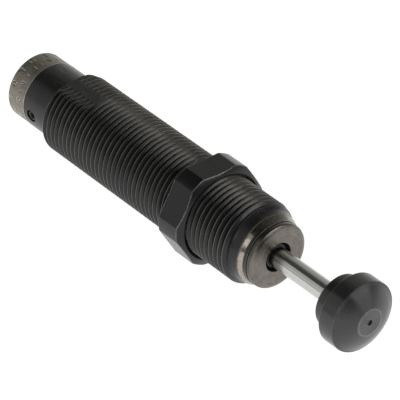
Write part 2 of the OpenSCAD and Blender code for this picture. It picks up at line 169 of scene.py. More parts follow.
def rounded(corners: Sequence[Sequence[float]], steps: int = 3, closed: bool = True) -> np.ndarray:
    """A profile whose corners are rounded.

    Each corner C becomes the arc (1-t)^2 A + 2t(1-t) C + t^2 B, where A and B lie the corner's
    rounding length before and after C. A guard point further along each side keeps the shading
    of the straight parts flat. On an outer corner, where the profile turns towards the axis,
    the arc's points also get the share sin(pi t), which tells a finish where an edge wears.
    A corner gives steps + 3 points, of which the caller cuts off those past an open end.

    Args:
        corners: station, radius and rounding length of each corner.
        steps: number of straight pieces in an arc.
        closed: whether the last corner leads back to the first.

    Returns:
        Points of the profile: station, radius and share of an outer edge.
    """
    arc_reach, guard_reach, guard_factor, least_bend = 0.45, 0.48, 1.6, 0.25
    table = np.asarray(corners, float)
    place, length = table[:, :2], table[:, 2:3]
    ways, ends = [], []
    for shift in (1, -1):
        side = np.roll(place, shift, axis=0) - place
        size = np.linalg.norm(side, axis=1, keepdims=True)
        way = side / size
        ways.append(way)
        ends.append(place + way * np.minimum(length, arc_reach * size))
        ends.append(place + way * np.minimum(guard_factor * length, guard_reach * size))
    start, guard_start, end, guard_end = ends
    t = np.linspace(0, 1, steps + 1)[None, :, None]
    arc = (1 - t) ** 2 * start[:, None] + 2 * t * (1 - t) * place[:, None] + t**2 * end[:, None]
    points = np.concatenate([guard_start[:, None], arc, guard_end[:, None]], axis=1)
    before, after = ways
    bend = before[:, 0] * after[:, 1] - before[:, 1] * after[:, 0]
    share = np.concatenate([[0.0], np.sin(np.pi * t[0, :, 0]), [0.0]])
    edge = np.where(bend[:, None] > least_bend, share[None, :], 0.0)
    profile = np.concatenate([points, edge[:, :, None]], axis=2).reshape(-1, 3)
    return np.vstack([profile, profile[:1]]) if closed else profile


def swept(stations: np.ndarray, radii: np.ndarray, edge: np.ndarray, angles: np.ndarray) -> Surface:
    """A surface that goes once round the axis.

    Args:
        stations: stations by angle and profile point, or by profile point alone.
        radii: radii by angle and profile point, or by profile point alone.
        edge: each profile point's share of an outer edge.
        angles: angles round the axis.

    Returns:
        The surface, closed round the axis.
    """
    mark = np.broadcast_to(edge, (len(angles), len(edge)))
    return Surface.of_grid(polar(stations, radii, angles[:, None]), 0, mark)


def turned(profile: np.ndarray, angles: np.ndarray, radii: np.ndarray | None = None) -> Surface:
    """A surface of revolution: every profile point swept through all angles.

    Args:
        profile: station, radius and share of an outer edge of each point, going forwards on the
            outside.
        angles: angles round the axis.
        radii: radii by angle and profile point, where the outline isn't round.

    Returns:
        The surface, closed round the axis.
    """
    return swept(profile[:, 0], profile[:, 1] if radii is None else radii, profile[:, 2], angles)


def full_turn(count: int, extra: Iterable[float] = ()) -> np.ndarray:
    """Angles that go once round the axis.

    Args:
        count: number of even steps.
        extra: further angles in degrees, where an outline has a corner.

    Returns:
        Sorted angles in radians.
    """
    even = np.arange(count) * 360.0 / count
    whole = np.concatenate([even, np.asarray(list(extra), float) % 360])
    return np.radians(np.unique(np.round(whole, 6)))


def mesh_object(name: str, surface: Surface, finish: Finish, crease: float = 40.0) -> Item:
    """Makes a welded object from a surface, in metres, with its place in its mesh.

    Args:
        name: the object's name.
        surface: its points and faces in millimetres.
        finish: its finish.
        crease: edges that bend by more degrees than this stay sharp.

    Returns:
        The new object.
    """
    mesh = bpy.data.meshes.new(name)
    mesh.from_pydata((surface.points * MM).tolist(), [], surface.faces.tolist())
    if surface.mark is not None:
        layer = mesh.attributes.new("mark", "FLOAT", "POINT")
        layer.data.foreach_set("value", surface.mark.astype(np.float32))
    work = bmesh.new()
    work.from_mesh(mesh)
    bmesh.ops.remove_doubles(work, verts=work.verts, dist=WELD)
    bmesh.ops.dissolve_degenerate(work, edges=work.edges, dist=WELD)
    bmesh.ops.delete(work, geom=[v for v in work.verts if not v.link_faces], context="VERTS")
    work.to_mesh(mesh)
    work.free()
    mesh.shade_smooth()
    mesh.set_sharp_from_angle(angle=math.radians(crease))
    mesh.materials.append(finish.material())
    made = bpy.data.objects.new(name, mesh)
    bpy.context.scene.collection.objects.link(made)
    return made


# ---------------------------------------------------------------- finishes


def linear(colour: str) -> tuple[float, float, float, float]:
    """Turns an sRGB colour into a linear one: c / 12.92 up to 0.04045, above that
    ((c + 0.055) / 1.055) ^ 2.4.

    Args:
        colour: the colour as a hex string, such as #1a1b1c.

    Returns:
        Linear red, green, blue and alpha.
    """
    raw = np.array([int(colour[i : i + 2], 16) / 255 for i in (1, 3, 5)])
    value = np.where(raw <= 0.04045, raw / 12.92, ((raw + 0.055) / 1.055) ** 2.4)
    return (*value.tolist(), 1.0)


def fill(
    tree: Tree,
    node: Node,
    settings: Mapping[Any, Any] | None = None,
    links: Mapping[Any, Source] | None = None,
) -> Node:
    """Gives a node its settings and links.

    Inputs go by number where Blender repeats or leaves out their names. A Mix node takes its
    share at 0, two numbers at 2 and 3 and two colours at 6 and 7. A Map Range node takes its
    value at 0 and turns the range from 1 to 2 into the range from 3 to 4.

    Args:
        tree: the node tree.
        node: the node.
        settings: its own properties by name, or its inputs' values by name or number.
        links: what its inputs take, by name or number: a socket, or a node for its first output.

    Returns:
        The same node.
    """
    for key, value in (settings or {}).items():
        if isinstance(key, str) and hasattr(node, key):
            setattr(node, key, value)
        else:
            node.inputs[key].default_value = value
    for key, source in (links or {}).items():
        if isinstance(source, Node):
            source = next(socket for socket in source.outputs if socket.enabled)
        tree.links.new(source, node.inputs[key])
    return node


def add_node(
    tree: Tree,
    kind: str,
    settings: Mapping[Any, Any] | None = None,
    links: Mapping[Any, Source] | None = None,
) -> Node:
    """Adds one shader node of a kind, with its settings and links as for fill."""
    return fill(tree, tree.nodes.new("ShaderNode" + kind), settings, links)


@dataclass(frozen=True)
class AxisSockets:
    """Where a point lies on a turned piece: along the axis, off the axis and round it."""

    position: Source
    station: Source
    radius: Source
    across: Source
    height: Source


def axis_sockets(tree: Tree) -> AxisSockets:
    """Works out a point's station, its radius and its direction from Object coordinates.

    Args:
        tree: the material's node tree.

    Returns:
        Sockets in metres; across and height are the cosine and sine of the angle.
    """
    add = partial(add_node, tree)
    place = add("TexCoord").outputs["Object"]
    parts = add("SeparateXYZ", links={0: place}).outputs
    flat = add("CombineXYZ", links={1: parts[1], 2: parts[2]})
    radius = add("VectorMath", {"operation": "LENGTH"}, {0: flat})
    way = add("VectorMath", {"operation": "NORMALIZE"}, {0: flat})
    way_parts = add("SeparateXYZ", links={0: way}).outputs
    return AxisSockets(place, parts[0], radius, way_parts[1], way_parts[2])


def lathe_marks(tree: Tree, axis: AxisSockets, spacing: float, spread: float) -> Node:
    """Fine rings that a lathe tool leaves: noise that changes quickly along the axis and the
    radius and slowly round them.

    Args:
        tree: the material's node tree.
        axis: the point's place on the piece.
        spacing: distance between the rings, in millimetres.
        spread: how much the rings change once round the axis.

    Returns:
        A value from 0 to 1.
    """
    rate = 1.0 / (spacing * MM)
    rates = ((axis.station, rate), (axis.radius, rate), (axis.across, spread), (axis.height, spread))
    station, radius, across, height = [
        add_node(tree, "Math", {"operation": "MULTIPLY", 1: factor}, {0: source}) for source, factor in rates
    ]
    vector = add_node(tree, "CombineXYZ", links={0: station, 1: radius, 2: across})
    settings = {"noise_dimensions": "4D", "Scale": 1.0, "Detail": 2.0, "Roughness": 0.6}
    return add_node(tree, "TexNoise", settings, {"Vector": vector, "W": height})


def spread_across(tree: Tree, shader: Node, axis: AxisSockets, lay: float) -> None:
    """Lets rings round the axis spread a reflection away from them.

    The tangent (1, -cos a, -sin a) lies in the plane of the axis and the point, so its part in
    the surface is square to the rings, on sides as on faces.

    Args:
        tree: the material's node tree.
        shader: its Principled shader.
        axis: the point's place on the piece.
        lay: how far the reflection is drawn out, from 0 to 1.
    """
    outward = add_node(tree, "CombineXYZ", links={1: axis.across, 2: axis.height})
    way = add_node(tree, "VectorMath", {"operation": "SUBTRACT", 0: (1.0, 0.0, 0.0)}, {1: outward})
    fill(tree, shader, {"Anisotropic": lay}, {"Tangent": way})


@dataclass(frozen=True)
class Finish:
    """What all finishes share: a name, and a material that is made once."""

    name: str

    def material(self) -> bpy.types.Material:
        """Makes the finish's material at its first use.

        Returns:
            The material, the same one at every later use.
        """
        found = bpy.data.materials.get(self.name)
        if found is not None:
            return found
        made = bpy.data.materials.new(self.name)
        made.use_nodes = True
        tree = made.node_tree
        tree.nodes.clear()
        shader = add_node(tree, "BsdfPrincipled")
        output = add_node(tree, "OutputMaterial", links={0: shader})
        output.is_active_output = True
        self.dress(tree, shader)
        return made

    def dress(self, tree: Tree, shader: Node) -> None:
        """Adds the finish's own nodes.

        Args:
            tree: the material's node tree.
            shader: its Principled shader.
        """
        raise NotImplementedError


@dataclass(frozen=True)
class BlackOxide(Finish):
    """Black oxide on turned or milled steel: a thin dark layer, oiled, with a satin gloss.

    The layer reads almost black where it faces the lens and silvery at a glancing angle. It
    wears through to brownish steel on outer edges and on a thread's crests, and handling leaves
    pale scuffs that run along the piece. The scuffs and the worn flanks lie on the upper side
    only: partly real wear, and partly painted light that stands for the light falling on that
    side. A dry layer keeps a trace of powdery bloom, which lightens it at a glancing angle only.
    """

    fresh: str = "#1a1b1c"
    faded: str = "#262626"
    worn: str = "#928b80"
    scuffed: str = "#6e6c69"
    gloss: tuple[float, float] = (0.25, 0.36)
    index: float = 1.5
    marks: float = 0.12
    depth: float = 0.004
    scuffs: float = 0.0
    # how far the upper side's wear and painted light lean towards +Y, in degrees
    lean: float = 20.0
    crest: float | None = None
    lay: float = 0.0
    bloom: float = 0.0
    bloom_spread: float = 0.3

    def upper_side_wear_and_light(self, tree: Tree, axis: AxisSockets) -> Node:
        """Share of wear and painted light on the upper side, from 0 on the sides to 1 on the piece's
        upper side, leaning from its top towards +Y, where the light falls. It follows the cosine of
        the angle to the leaning direction.

        Args:
            tree: the material's node tree.
            axis: the point's place on the piece.

        Returns:
            A share from 0 to 1.
        """
        add = partial(add_node, tree)
        lean = math.radians(self.lean)
        side = add("Math", {"operation": "MULTIPLY", 1: math.sin(lean)}, {0: axis.across})
        facing = add("Math", {"operation": "MULTIPLY_ADD", 1: math.cos(lean)}, {0: axis.height, 2: side})
        return add("MapRange", {1: 0.68, 2: 0.96}, {0: facing})

    def worn_crests(self, tree: Tree, axis: AxisSockets) -> Node:
        """Share of bare steel on a thread: on the crests' land all round, and thinner on the
        flanks of the body's upper side, where it is partly wear and partly painted light.

        Args:
            tree: the material's node tree.
            axis: the point's place on the piece.

        Returns:
            A share from 0 to 1, which comes and goes in patches of about a centimetre.
        """
        add = partial(add_node, tree)
        top = self.crest
        patch = add("TexNoise", {"Scale": 1 / (9 * MM), "Detail": 2.0}, {"Vector": axis.position})
        rubbed = add("MapRange", {1: 0.36, 2: 0.66, 3: 0.35, 4: 1.0}, {0: patch})
        land = add("MapRange", {1: (top - 0.05) * MM, 2: (top - 0.01) * MM, 4: 0.42}, {0: axis.radius})
        flank = add("MapRange", {1: (top - 0.8) * MM, 2: (top - 0.3) * MM, 4: 0.33}, {0: axis.radius})
        # painted light in part: bare steel on the upper flanks only stands for the light that falls there
        upper_side_wear_and_light = self.upper_side_wear_and_light(tree, axis)
        both = add("Math", {"operation": "MULTIPLY_ADD"}, {0: flank, 1: upper_side_wear_and_light, 2: land})
        return add("Math", {"operation": "MULTIPLY"}, {0: both, 1: rubbed})

    def dress(self, tree: Tree, shader: Node) -> None:
        """Blotchy oxide, tool marks, scuffs, rubbed edges and, on a thread, rubbed crests.

        Args:
            tree: the material's node tree.
            shader: its Principled shader.
        """
        add = partial(add_node, tree)
        axis = axis_sockets(tree)
        blotch = add("TexNoise", {"Scale": 1 / (4 * MM), "Detail": 3.0}, {"Vector": axis.position})
        fine = add("TexNoise", {"Scale": 1 / (0.3 * MM), "Detail": 2.0}, {"Vector": axis.position})
        tone = add("MapRange", {1: 0.35, 2: 0.7}, {0: blotch})
        oxide = add("Mix", {"data_type": "RGBA", 6: linear(self.fresh), 7: linear(self.faded)}, {0: tone})
        # A scuff is about 3 mm long and 0.3 mm wide, and lies along the axis.
        scuff_scale = (1 / (3 * MM), 1 / (0.3 * MM), 1 / (0.3 * MM))
        along = add("Mapping", {"Scale": scuff_scale}, {0: axis.position})
        streak = add("TexNoise", {"Scale": 1.0, "Detail": 3.0}, {"Vector": along})
        pale = add("MapRange", {1: 0.56, 2: 0.74, 4: self.scuffs}, {0: streak})
        # painted light in part: the scuffs lie on the upper side only, which lightens the side the light
        # falls on
        scuff = add("Math", {"operation": "MULTIPLY"}, {0: pale, 1: self.upper_side_wear_and_light(tree, axis)})
        rubbed = add("Mix", {"data_type": "RGBA", 7: linear(self.scuffed)}, {0: scuff, 6: oxide})
        mark = add("Attribute", {"attribute_name": "mark"}).outputs["Fac"]
        ragged = add("MapRange", {1: 0.35, 2: 0.65, 3: 0.3, 4: 1.0}, {0: fine})
        bare = add("Math", {"operation": "MULTIPLY"}, {0: mark, 1: ragged})
        if self.crest is not None:
            bare = add("Math", {"operation": "MAXIMUM"}, {0: bare, 1: self.worn_crests(tree, axis)})
        colour = add("Mix", {"data_type": "RGBA", 7: linear(self.worn)}, {0: bare, 6: rubbed})
        rough = add("MapRange", {1: 0.3, 2: 0.7, 3: self.gloss[0], 4: self.gloss[1]}, {0: fine})
        tooled = lathe_marks(tree, axis, self.marks, 3.0)
        bump = add("Bump", {"Strength": 0.5, "Distance": self.depth * MM}, {"Height": tooled})
        fill(
            tree,
            shader,
            {"IOR": self.index, "Sheen Weight": self.bloom, "Sheen Roughness": self.bloom_spread},
            {"Base Color": colour, "Metallic": bare, "Roughness": rough, "Normal": bump},
        )
        if self.lay > 0:
            spread_across(tree, shader, axis, self.lay)


@dataclass(frozen=True)
class BodyOxide(BlackOxide):
    """The threaded body's black oxide, with the chamfer in front that was turned after blackening.

    The bare chamfer mirrors its surroundings: bright towards the table and the panel, dark
    towards the ceiling. The thread is drier than the nose in front of it, so it has more bloom
    outside the smooth parts' radius.
    """

    band: tuple[float, float] = (0.0, 1.0)
    turned_bare: str = "#a59d94"
    bare_gloss: float = 0.16
    smooth: float = 8.95
    thread_bloom: float = 0.45

    def dress(self, tree: Tree, shader: Node) -> None:
        """Adds the bare band between two stations, with a slightly ragged edge and speckles, and
        the thread's bloom.

        Args:
            tree: the material's node tree.
            shader: its Principled shader.
        """
        super().dress(tree, shader)
        add = partial(add_node, tree)
        axis = axis_sockets(tree)
        start_at, end_at = self.band[0] * MM, self.band[1] * MM
        fade, wander = 0.04 * MM, 0.06 * MM
        grit = add("TexNoise", {"Scale": 1 / (0.4 * MM), "Detail": 2.0}, {"Vector": axis.position})
        ragged = add("MapRange", {1: 0.3, 2: 0.7, 3: -wander, 4: wander}, {0: grit})
        place = add("Math", {"operation": "ADD"}, {0: axis.station, 1: ragged})
        start = add("MapRange", {1: start_at, 2: start_at + fade}, {0: place})
        end = add("MapRange", {1: end_at - fade, 2: end_at, 3: 1.0, 4: 0.0}, {0: place})
        stain = add("MapRange", {1: 0.36, 2: 0.46, 3: 0.85, 4: 1.0}, {0: grit})
        inside = add("Math", {"operation": "MULTIPLY"}, {0: start, 1: end})
        share = add("Math", {"operation": "MULTIPLY"}, {0: inside, 1: stain})
        taken = ("Base Color", "Metallic", "Roughness")
        oxide = {name: shader.inputs[name].links[0].from_socket for name in taken}
        bare = {"data_type": "RGBA", 7: linear(self.turned_bare)}
        colour = add("Mix", bare, {0: share, 6: oxide["Base Color"]})
        metal = add("Math", {"operation": "MAXIMUM"}, {0: share, 1: oxide["Metallic"]})
        rough = add("Mix", {3: self.bare_gloss}, {0: share, 2: oxide["Roughness"]})
        reach = {1: self.smooth * MM, 2: (self.smooth + 0.15) * MM, 4: self.thread_bloom}
        dry = add("MapRange", reach, {0: axis.radius})
        links = {"Base Color": colour, "Metallic": metal, "Roughness": rough, "Sheen Weight": dry}
        fill(tree, shader, links=links)


@dataclass(frozen=True)
class TurnedSteel(Finish):
    """Bare or thinly coated steel from the lathe: rings of slightly different grey round the axis.

    The rings stretch each reflection away from them, which gives a turned face its light and
    dark sectors. Handling leaves blotches, and small pits keep dark spots.
    """

    light: str = "#8d867d"
    dark: str = "#6c665e"
    gloss: tuple[float, float] = (0.3, 0.45)
    marks: float = 0.25
    depth: float = 0.004
    metallic: float = 1.0
    spots: float = 0.0
    lay: float = 0.0
    oxide: str = "#3b3936"
    oxide_share: float = 0.6
    oxide_from: float | None = None

    def dress(self, tree: Tree, shader: Node) -> None:
        """Rings, blotches of handling stain, small dark spots and, outside one radius, what is
        left of an oxide layer.

        Args:
            tree: the material's node tree.
            shader: its Principled shader.
        """
        add = partial(add_node, tree)
        axis = axis_sockets(tree)
        rings = lathe_marks(tree, axis, self.marks, 2.0)
        blotch = add("TexNoise", {"Scale": 1 / (1.6 * MM), "Detail": 3.0}, {"Vector": axis.position})
        grit = add("TexNoise", {"Scale": 1 / (0.35 * MM), "Detail": 2.0}, {"Vector": axis.position})
        uneven = add("Math", {"operation": "ADD"}, {0: rings, 1: blotch})
        tone = add("MapRange", {1: 0.7, 2: 1.3}, {0: uneven})
        steel = add("Mix", {"data_type": "RGBA", 6: linear(self.dark), 7: linear(self.light)}, {0: tone})
        pit = add("MapRange", {1: 0.32, 2: 0.42, 3: self.spots, 4: 0.0}, {0: grit})
        colour = add("Mix", {"data_type": "RGBA", 7: linear(self.dark)}, {0: pit, 6: steel})
        if self.oxide_from is not None:
            reach = {1: (self.oxide_from - 0.06) * MM, 2: (self.oxide_from - 0.02) * MM, 4: self.oxide_share}
            outer = add("MapRange", reach, {0: axis.radius})
            colour = add("Mix", {"data_type": "RGBA", 7: linear(self.oxide)}, {0: outer, 6: colour})
        rough = add("MapRange", {1: 0.3, 2: 0.7, 3: self.gloss[0], 4: self.gloss[1]}, {0: blotch})
        bump = add("Bump", {"Strength": 0.6, "Distance": self.depth * MM}, {"Height": rings})
        links = {"Base Color": colour, "Roughness": rough, "Normal": bump}
        fill(tree, shader, {"Metallic": self.metallic}, links)
        if self.lay > 0:
            spread_across(tree, shader, axis, self.lay)


@dataclass(frozen=True)
class EngravedSteel(TurnedSteel):
    """Blasted steel with an engraved scale: the grooves are darker at the bottom, their raised
    burrs shine, and the front rim is rubbed bright."""

    groove: str = "#4a4641"
    burr: str = "#c9c4bb"
    cut_gloss: float = 0.22
    rim: tuple[float, float] = (0.0, 1.0)

    def dress(self, tree: Tree, shader: Node) -> None:
        """Adds dirt, the rubbed rim and the grooves' colours, which follow the mesh's mark: it is
        1 in a groove's bottom. The cutter leaves smooth walls, so one side of a groove mirrors
        the light and the other the dark.

        Args:
            tree: the material's node tree.
            shader: its Principled shader.
        """
        super().dress(tree, shader)
        add = partial(add_node, tree)
        axis = axis_sockets(tree)
        grit = add("TexNoise", {"Scale": 1 / (0.3 * MM), "Detail": 3.0}, {"Vector": axis.position})
        mark = add("Attribute", {"attribute_name": "mark"}).outputs["Fac"]
        rising = add("MapRange", {1: 0.02, 2: 0.2}, {0: mark})
        falling = add("MapRange", {1: 0.35, 2: 0.7, 3: 1.0, 4: 0.0}, {0: mark})
        bright = {1: self.rim[0] * MM, 2: self.rim[1] * MM, 4: 0.4}
        layers = (
            (self.dark, add("MapRange", {1: 0.45, 2: 0.75, 4: 0.55}, {0: grit})),
            (self.burr, add("MapRange", bright, {0: axis.station})),
            (self.burr, add("Math", {"operation": "MULTIPLY"}, {0: rising, 1: falling})),
            (self.groove, add("MapRange", {1: 0.4, 2: 0.9}, {0: mark})),
        )
        colour: Source = shader.inputs["Base Color"].links[0].from_socket
        for tint, share in layers:
            colour = add("Mix", {"data_type": "RGBA", 7: linear(tint)}, {0: share, 6: colour})
        blasted = shader.inputs["Roughness"].links[0].from_socket
        rough = add("Mix", {3: self.cut_gloss}, {0: rising, 2: blasted})
        fill(tree, shader, links={"Base Color": colour, "Roughness": rough})


@dataclass(frozen=True)
class HardChrome(Finish):
    """Hard chrome, ground and polished: a mirror round the rod, softened along it.

    Grinding leaves hair-fine rings, far finer than a render shows, so the shader's anisotropy
    spreads the reflection along the rod in their place.
    """

    tint: str = "#c9cac8"
    shade: str = "#bcbcb9"
    gloss: tuple[float, float] = (0.14, 0.18)
    lay: float = 0.95

    def dress(self, tree: Tree, shader: Node) -> None:
        """A mirror with faint rings and haze.

        Args:
            tree: the material's node tree.
            shader: its Principled shader.
        """
        add = partial(add_node, tree)
        axis = axis_sockets(tree)
        rings = lathe_marks(tree, axis, 0.5, 1.0)
        haze = add("TexNoise", {"Scale": 1 / (2.5 * MM), "Detail": 2.0}, {"Vector": axis.position})
        colour = add("Mix", {"data_type": "RGBA", 6: linear(self.tint), 7: linear(self.shade)}, {0: rings})
        rough = add("MapRange", {1: 0.3, 2: 0.7, 3: self.gloss[0], 4: self.gloss[1]}, {0: haze})
        fill(tree, shader, {"Metallic": 1.0}, {"Base Color": colour, "Roughness": rough})
        spread_across(tree, shader, axis, self.lay)


@dataclass(frozen=True)
class Moulded(Finish):
    """Moulded rubber or plastic: no metal, an even colour with a fine mottle and a soft gloss."""

    light: str = "#2a2a2b"
    dark: str = "#1b1b1c"
    gloss: float = 0.55
    mottle: float = 0.8
    depth: float = 0.01

    def dress(self, tree: Tree, shader: Node) -> None:
        """Mottle in colour, gloss and height.

        Args:
            tree: the material's node tree.
            shader: its Principled shader.
        """
        add = partial(add_node, tree)
        axis = axis_sockets(tree)
        patch = add("TexNoise", {"Scale": 1 / (self.mottle * MM), "Detail": 3.0}, {"Vector": axis.position})
        pores = add("TexNoise", {"Scale": 4 / (self.mottle * MM), "Detail": 3.0}, {"Vector": axis.position})
        tone = add("MapRange", {1: 0.3, 2: 0.7}, {0: patch})
        colour = add("Mix", {"data_type": "RGBA", 6: linear(self.dark), 7: linear(self.light)}, {0: tone})
        rough = add("MapRange", {1: 0.3, 2: 0.7, 3: self.gloss - 0.06, 4: self.gloss + 0.06}, {0: patch})
        bump = add("Bump", {"Strength": 0.5, "Distance": self.depth * MM}, {"Height": pores})
        fill(tree, shader, links={"Base Color": colour, "Roughness": rough, "Normal": bump})


@dataclass(frozen=True)
class ClosedCellFoam(Finish):
    """Closed-cell elastomer foam: small round cells whose walls catch the light, with painted shade inside
    the cells.
    """

    wall: str = "#566470"
    # colour of the painted shade in the cells' middles
    cell: str = "#29323a"
    size: float = 0.5
    depth: float = 0.12

    def dress(self, tree: Tree, shader: Node) -> None:
        """Cells from a Voronoi pattern, dark inside and raised at their walls.

        Args:
            Cells from a Voronoi pattern, raised at their walls, with painted shade that darkens them towards
            their middles.
            shader: its Principled shader.
        """
        add = partial(add_node, tree)
        axis = axis_sockets(tree)
        cells = add("TexVoronoi", {"Scale": 1 / (self.size * MM)}, {"Vector": axis.position})
        # painted shade: each cell is darker towards its sunken middle
        tone = add("MapRange", {1: 0.1, 2: 0.55}, {0: cells})
        colour = add("Mix", {"data_type": "RGBA", 6: linear(self.cell), 7: linear(self.wall)}, {0: tone})
        bump = add("Bump", {"Strength": 0.8, "Distance": self.depth * MM}, {"Height": cells})
        fill(tree, shader, {"Roughness": 0.85}, {"Base Color": colour, "Normal": bump})


@dataclass(frozen=True)
class StudioPaper(Finish):
    """A white table lit from inside, as used for product pictures: it stays white under shadows."""

    white: str = "#959594"
    glow: float = 0.97

    def dress(self, tree: Tree, shader: Node) -> None:
        """A pale matt surface with an even glow.

        Args:
            tree: the material's node tree.
            shader: its Principled shader.
        """
        matt = {"Base Color": linear(self.white), "Roughness": 0.9, "Specular IOR Level": 0.1}
        glow = {"Emission Color": (1.0, 1.0, 1.0, 1.0), "Emission Strength": self.glow}
        fill(tree, shader, {**matt, **glow})


# ---------------------------------------------------------------- sub-assemblies


@dataclass
class SubAssembly:
    """A group of pieces that ride on one CAD body."""

    body: str
    node: str = ""

    @cached_property
    def span(self) -> Span:
        """Where the group's CAD node lies, read once."""
        return Span.of(self.node)

    def place(self, piece: Item, slot: str, *nodes: str) -> None:
        """Lets a piece ride on the group's body and stand for its CAD nodes.

        Args:
            piece: the finished piece.
            slot: not used.
            nodes: CAD nodes that it replaces.
        """
        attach(piece, self.body)
        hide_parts(*nodes)
        log.info("%s: %d faces, rides on %s", piece.name, len(piece.data.polygons), self.body)


@dataclass
class ThreadedBody(SubAssembly):
    """The outer body: plain neck with the lock screw's hole, rolled thread with two wrench flats,
    run-out, nose, bare front chamfer and lip."""

    body: str = "housing"
    node: str = "outer_body"
    pitch: float = 1.5
    crest: float = 0.19
    root: float = 9.08
    thread: float = 10.0
    thread_phase: float = -53.31
    thread_len: float = 65.5
    chamfer: float = 0.5
    flat: float = 8.95
    flat_len: float = 12.0
    neck: float = 8.3
    neck_len: float = 9.05
    neck_edge: float = 0.12
    hub: float = 4.53
    runout_len: float = 1.5
    nose: tuple[float, float] = (8.9, 8.65)
    nose_len: float = 1.8
    bare_len: float = 0.95
    lip: float = 7.95
    bore: float = 7.0
    bottom: float = 10.55
    hole: float = 1.53
    hole_station: float = 2.8
    tilt: float = 5.5
    steps: int = 176
    columns: tuple[int, ...] = (-3, -2, -1, 1, 2, 3)

    @property
    def start(self) -> float:
        """Station where the neck ends and the thread starts."""
        return self.span.rear + self.neck_len

    @property
    def end(self) -> float:
        """Station where the thread's run-out ends and the nose starts."""
        return self.start + self.thread_len + self.runout_len

    @property
    def hole_at(self) -> float:
        """Station of the lock screw's hole."""
        return self.span.rear + self.hole_station

    @property
    def hole_angle(self) -> float:
        """Direction of the lock screw's hole, in radians."""
        return math.pi + math.radians(self.tilt)

    def angles(self) -> np.ndarray:
        """Works out the rows' angles, with extra ones where the flats meet the crests.

        Returns:
            Sorted angles in radians.
        """
        corner = math.degrees(math.asin(self.flat / self.thread))
        turns = (corner, 180 - corner, 180 + corner, -corner)
        return full_turn(self.steps, [self.tilt + turn for turn in turns])

    def flat_radius(self, angle: np.ndarray, turn: np.ndarray) -> np.ndarray:
        """Radius at which a wrench flat cuts a ridge: flat / |sin(a - tilt)|.

        A ridge crosses the middles of the two flats about a quarter and three quarters of a turn
        on. It is cut only where that place lies behind the flats' end.

        Args:
            angle: angles round the axis.
            turn: number of the ridge.

        Returns:
            The radius, or the thread's own where no flat cuts.
        """
        rise = np.sin(angle - math.radians(self.tilt))
        ridge_at = self.thread_phase + self.pitch * (turn + np.where(rise > 0, 0.25, 0.75))
        plane = self.flat / np.maximum(np.abs(rise), 1e-6)
        return np.where(ridge_at < self.start + self.flat_len, np.minimum(plane, self.thread), self.thread)

    def radius(self, station: np.ndarray, angle: np.ndarray) -> np.ndarray:
        """Radius of the threaded surface: the 60 degree ridge, cut by the flats, the rear chamfer
        and the run-out cone.

        Args:
            station: places along the axis.
            angle: angles round it.

        Returns:
            Radii.
        """
        phase = (station - self.thread_phase) / self.pitch - angle / (2 * np.pi)
        turn = np.round(phase)
        off = np.abs(phase - turn) * self.pitch
        ridge = self.thread - (off - self.crest / 2) / TAN_30
        ridge = np.clip(ridge, self.root, self.flat_radius(angle, turn))
        stations = [self.start, self.start + self.chamfer, self.start + self.thread_len, self.end]
        radii = [self.thread - self.chamfer, self.thread, self.thread, self.nose[0]]
        return np.minimum(ridge, np.interp(station, stations, radii))

    def thread_surface(self) -> Surface:
        """The helical thread on a grid whose columns follow the ridges.

        A column lies at x = x0 + pitch (turn + a / 2 pi) + offset, where the offset is the place
        of a crest's or a root's corner: 1 and 2 lie on both sides of the crest's bevelled corner,
        3 at the foot. Columns past the ends stop there.

        Returns:
            The thread's surface.
        """
        bevel, least = 0.04, 0.02
        angle = self.angles()[:, None, None]
        first = math.floor((self.start - self.thread_phase) / self.pitch) - 2
        last = math.ceil((self.end - self.thread_phase) / self.pitch) + 1
        turn = np.arange(first, last + 1)[None, :, None].astype(float)
        land = self.crest / 2 + (self.thread - self.flat_radius(angle, turn)) * TAN_30
        foot = self.crest / 2 + (self.thread - self.root) * TAN_30
        kind = np.asarray(self.columns)[None, None, :]
        size = np.abs(kind)
        offset = np.where(size == 1, land - bevel, np.where(size == 2, land + bevel / 2, foot))
        offset = np.sign(kind) * np.clip(offset, least, foot)
        station = self.thread_phase + self.pitch * (turn + angle / (2 * np.pi)) + offset
        station = np.clip(station, self.start, self.end).reshape(len(angle), -1)
        angle = np.broadcast_to(angle[:, :, 0], station.shape)
        return Surface.of_grid(polar(station, self.radius(station, angle), angle), wrap=len(self.columns))

    def pierced(self, radius: float, inward: bool) -> Surface:
        """The neck's wall at one radius, pierced by the lock screw's hole.

        Beside the hole the wall is an even grid. Round it, points run on straight lines from the
        hole's circle to the edge of a square patch; tangential places v turn into angles by
        asin(v / r).

        Args:
            radius: the wall's radius.
            inward: whether the wall faces the axis.

        Returns:
            The wall's surface.
        """
        stations, rings, crowding = 12, 7, 1.4
        rear, front = self.span.rear + self.neck_edge, self.start
        angles = self.angles()
        inside = np.abs(angles - self.hole_angle) < 2.0 * math.asin(self.hole / radius)
        low, high = int(np.argmax(inside)), int(len(angles) - np.argmax(inside[::-1]))
        along = np.linspace(rear, front, stations)
        open_rows = np.concatenate([angles[high - 1 :], angles[: low + 1] + 2 * np.pi])
        plain = Surface.of_grid(polar(along, radius, open_rows[:, None]))
        rows = angles[low:high]
        sides = ((rows[:1], along), (rows, front), (rows[-1:], along[::-1]), (rows[::-1], rear))
        loop = np.concatenate([np.stack(np.broadcast_arrays(*side), -1)[:-1] for side in sides])
        aim = np.arctan2(radius * np.sin(loop[:, 0] - self.hole_angle), loop[:, 1] - self.hole_at)
        circle_angle = self.hole_angle + np.arcsin(self.hole * np.sin(aim) / radius)
        circle = np.stack([circle_angle, self.hole_at + self.hole * np.cos(aim)], -1)
        share = (np.linspace(0, 1, rings) ** crowding)[None, :, None]
        patch = circle[:, None] * (1 - share) + loop[:, None] * share
        both = plain.joined(Surface.of_grid(polar(patch[..., 1], radius, patch[..., 0]), wrap=0))
        if inward:
            both.faces = both.faces[:, ::-1]
        return both

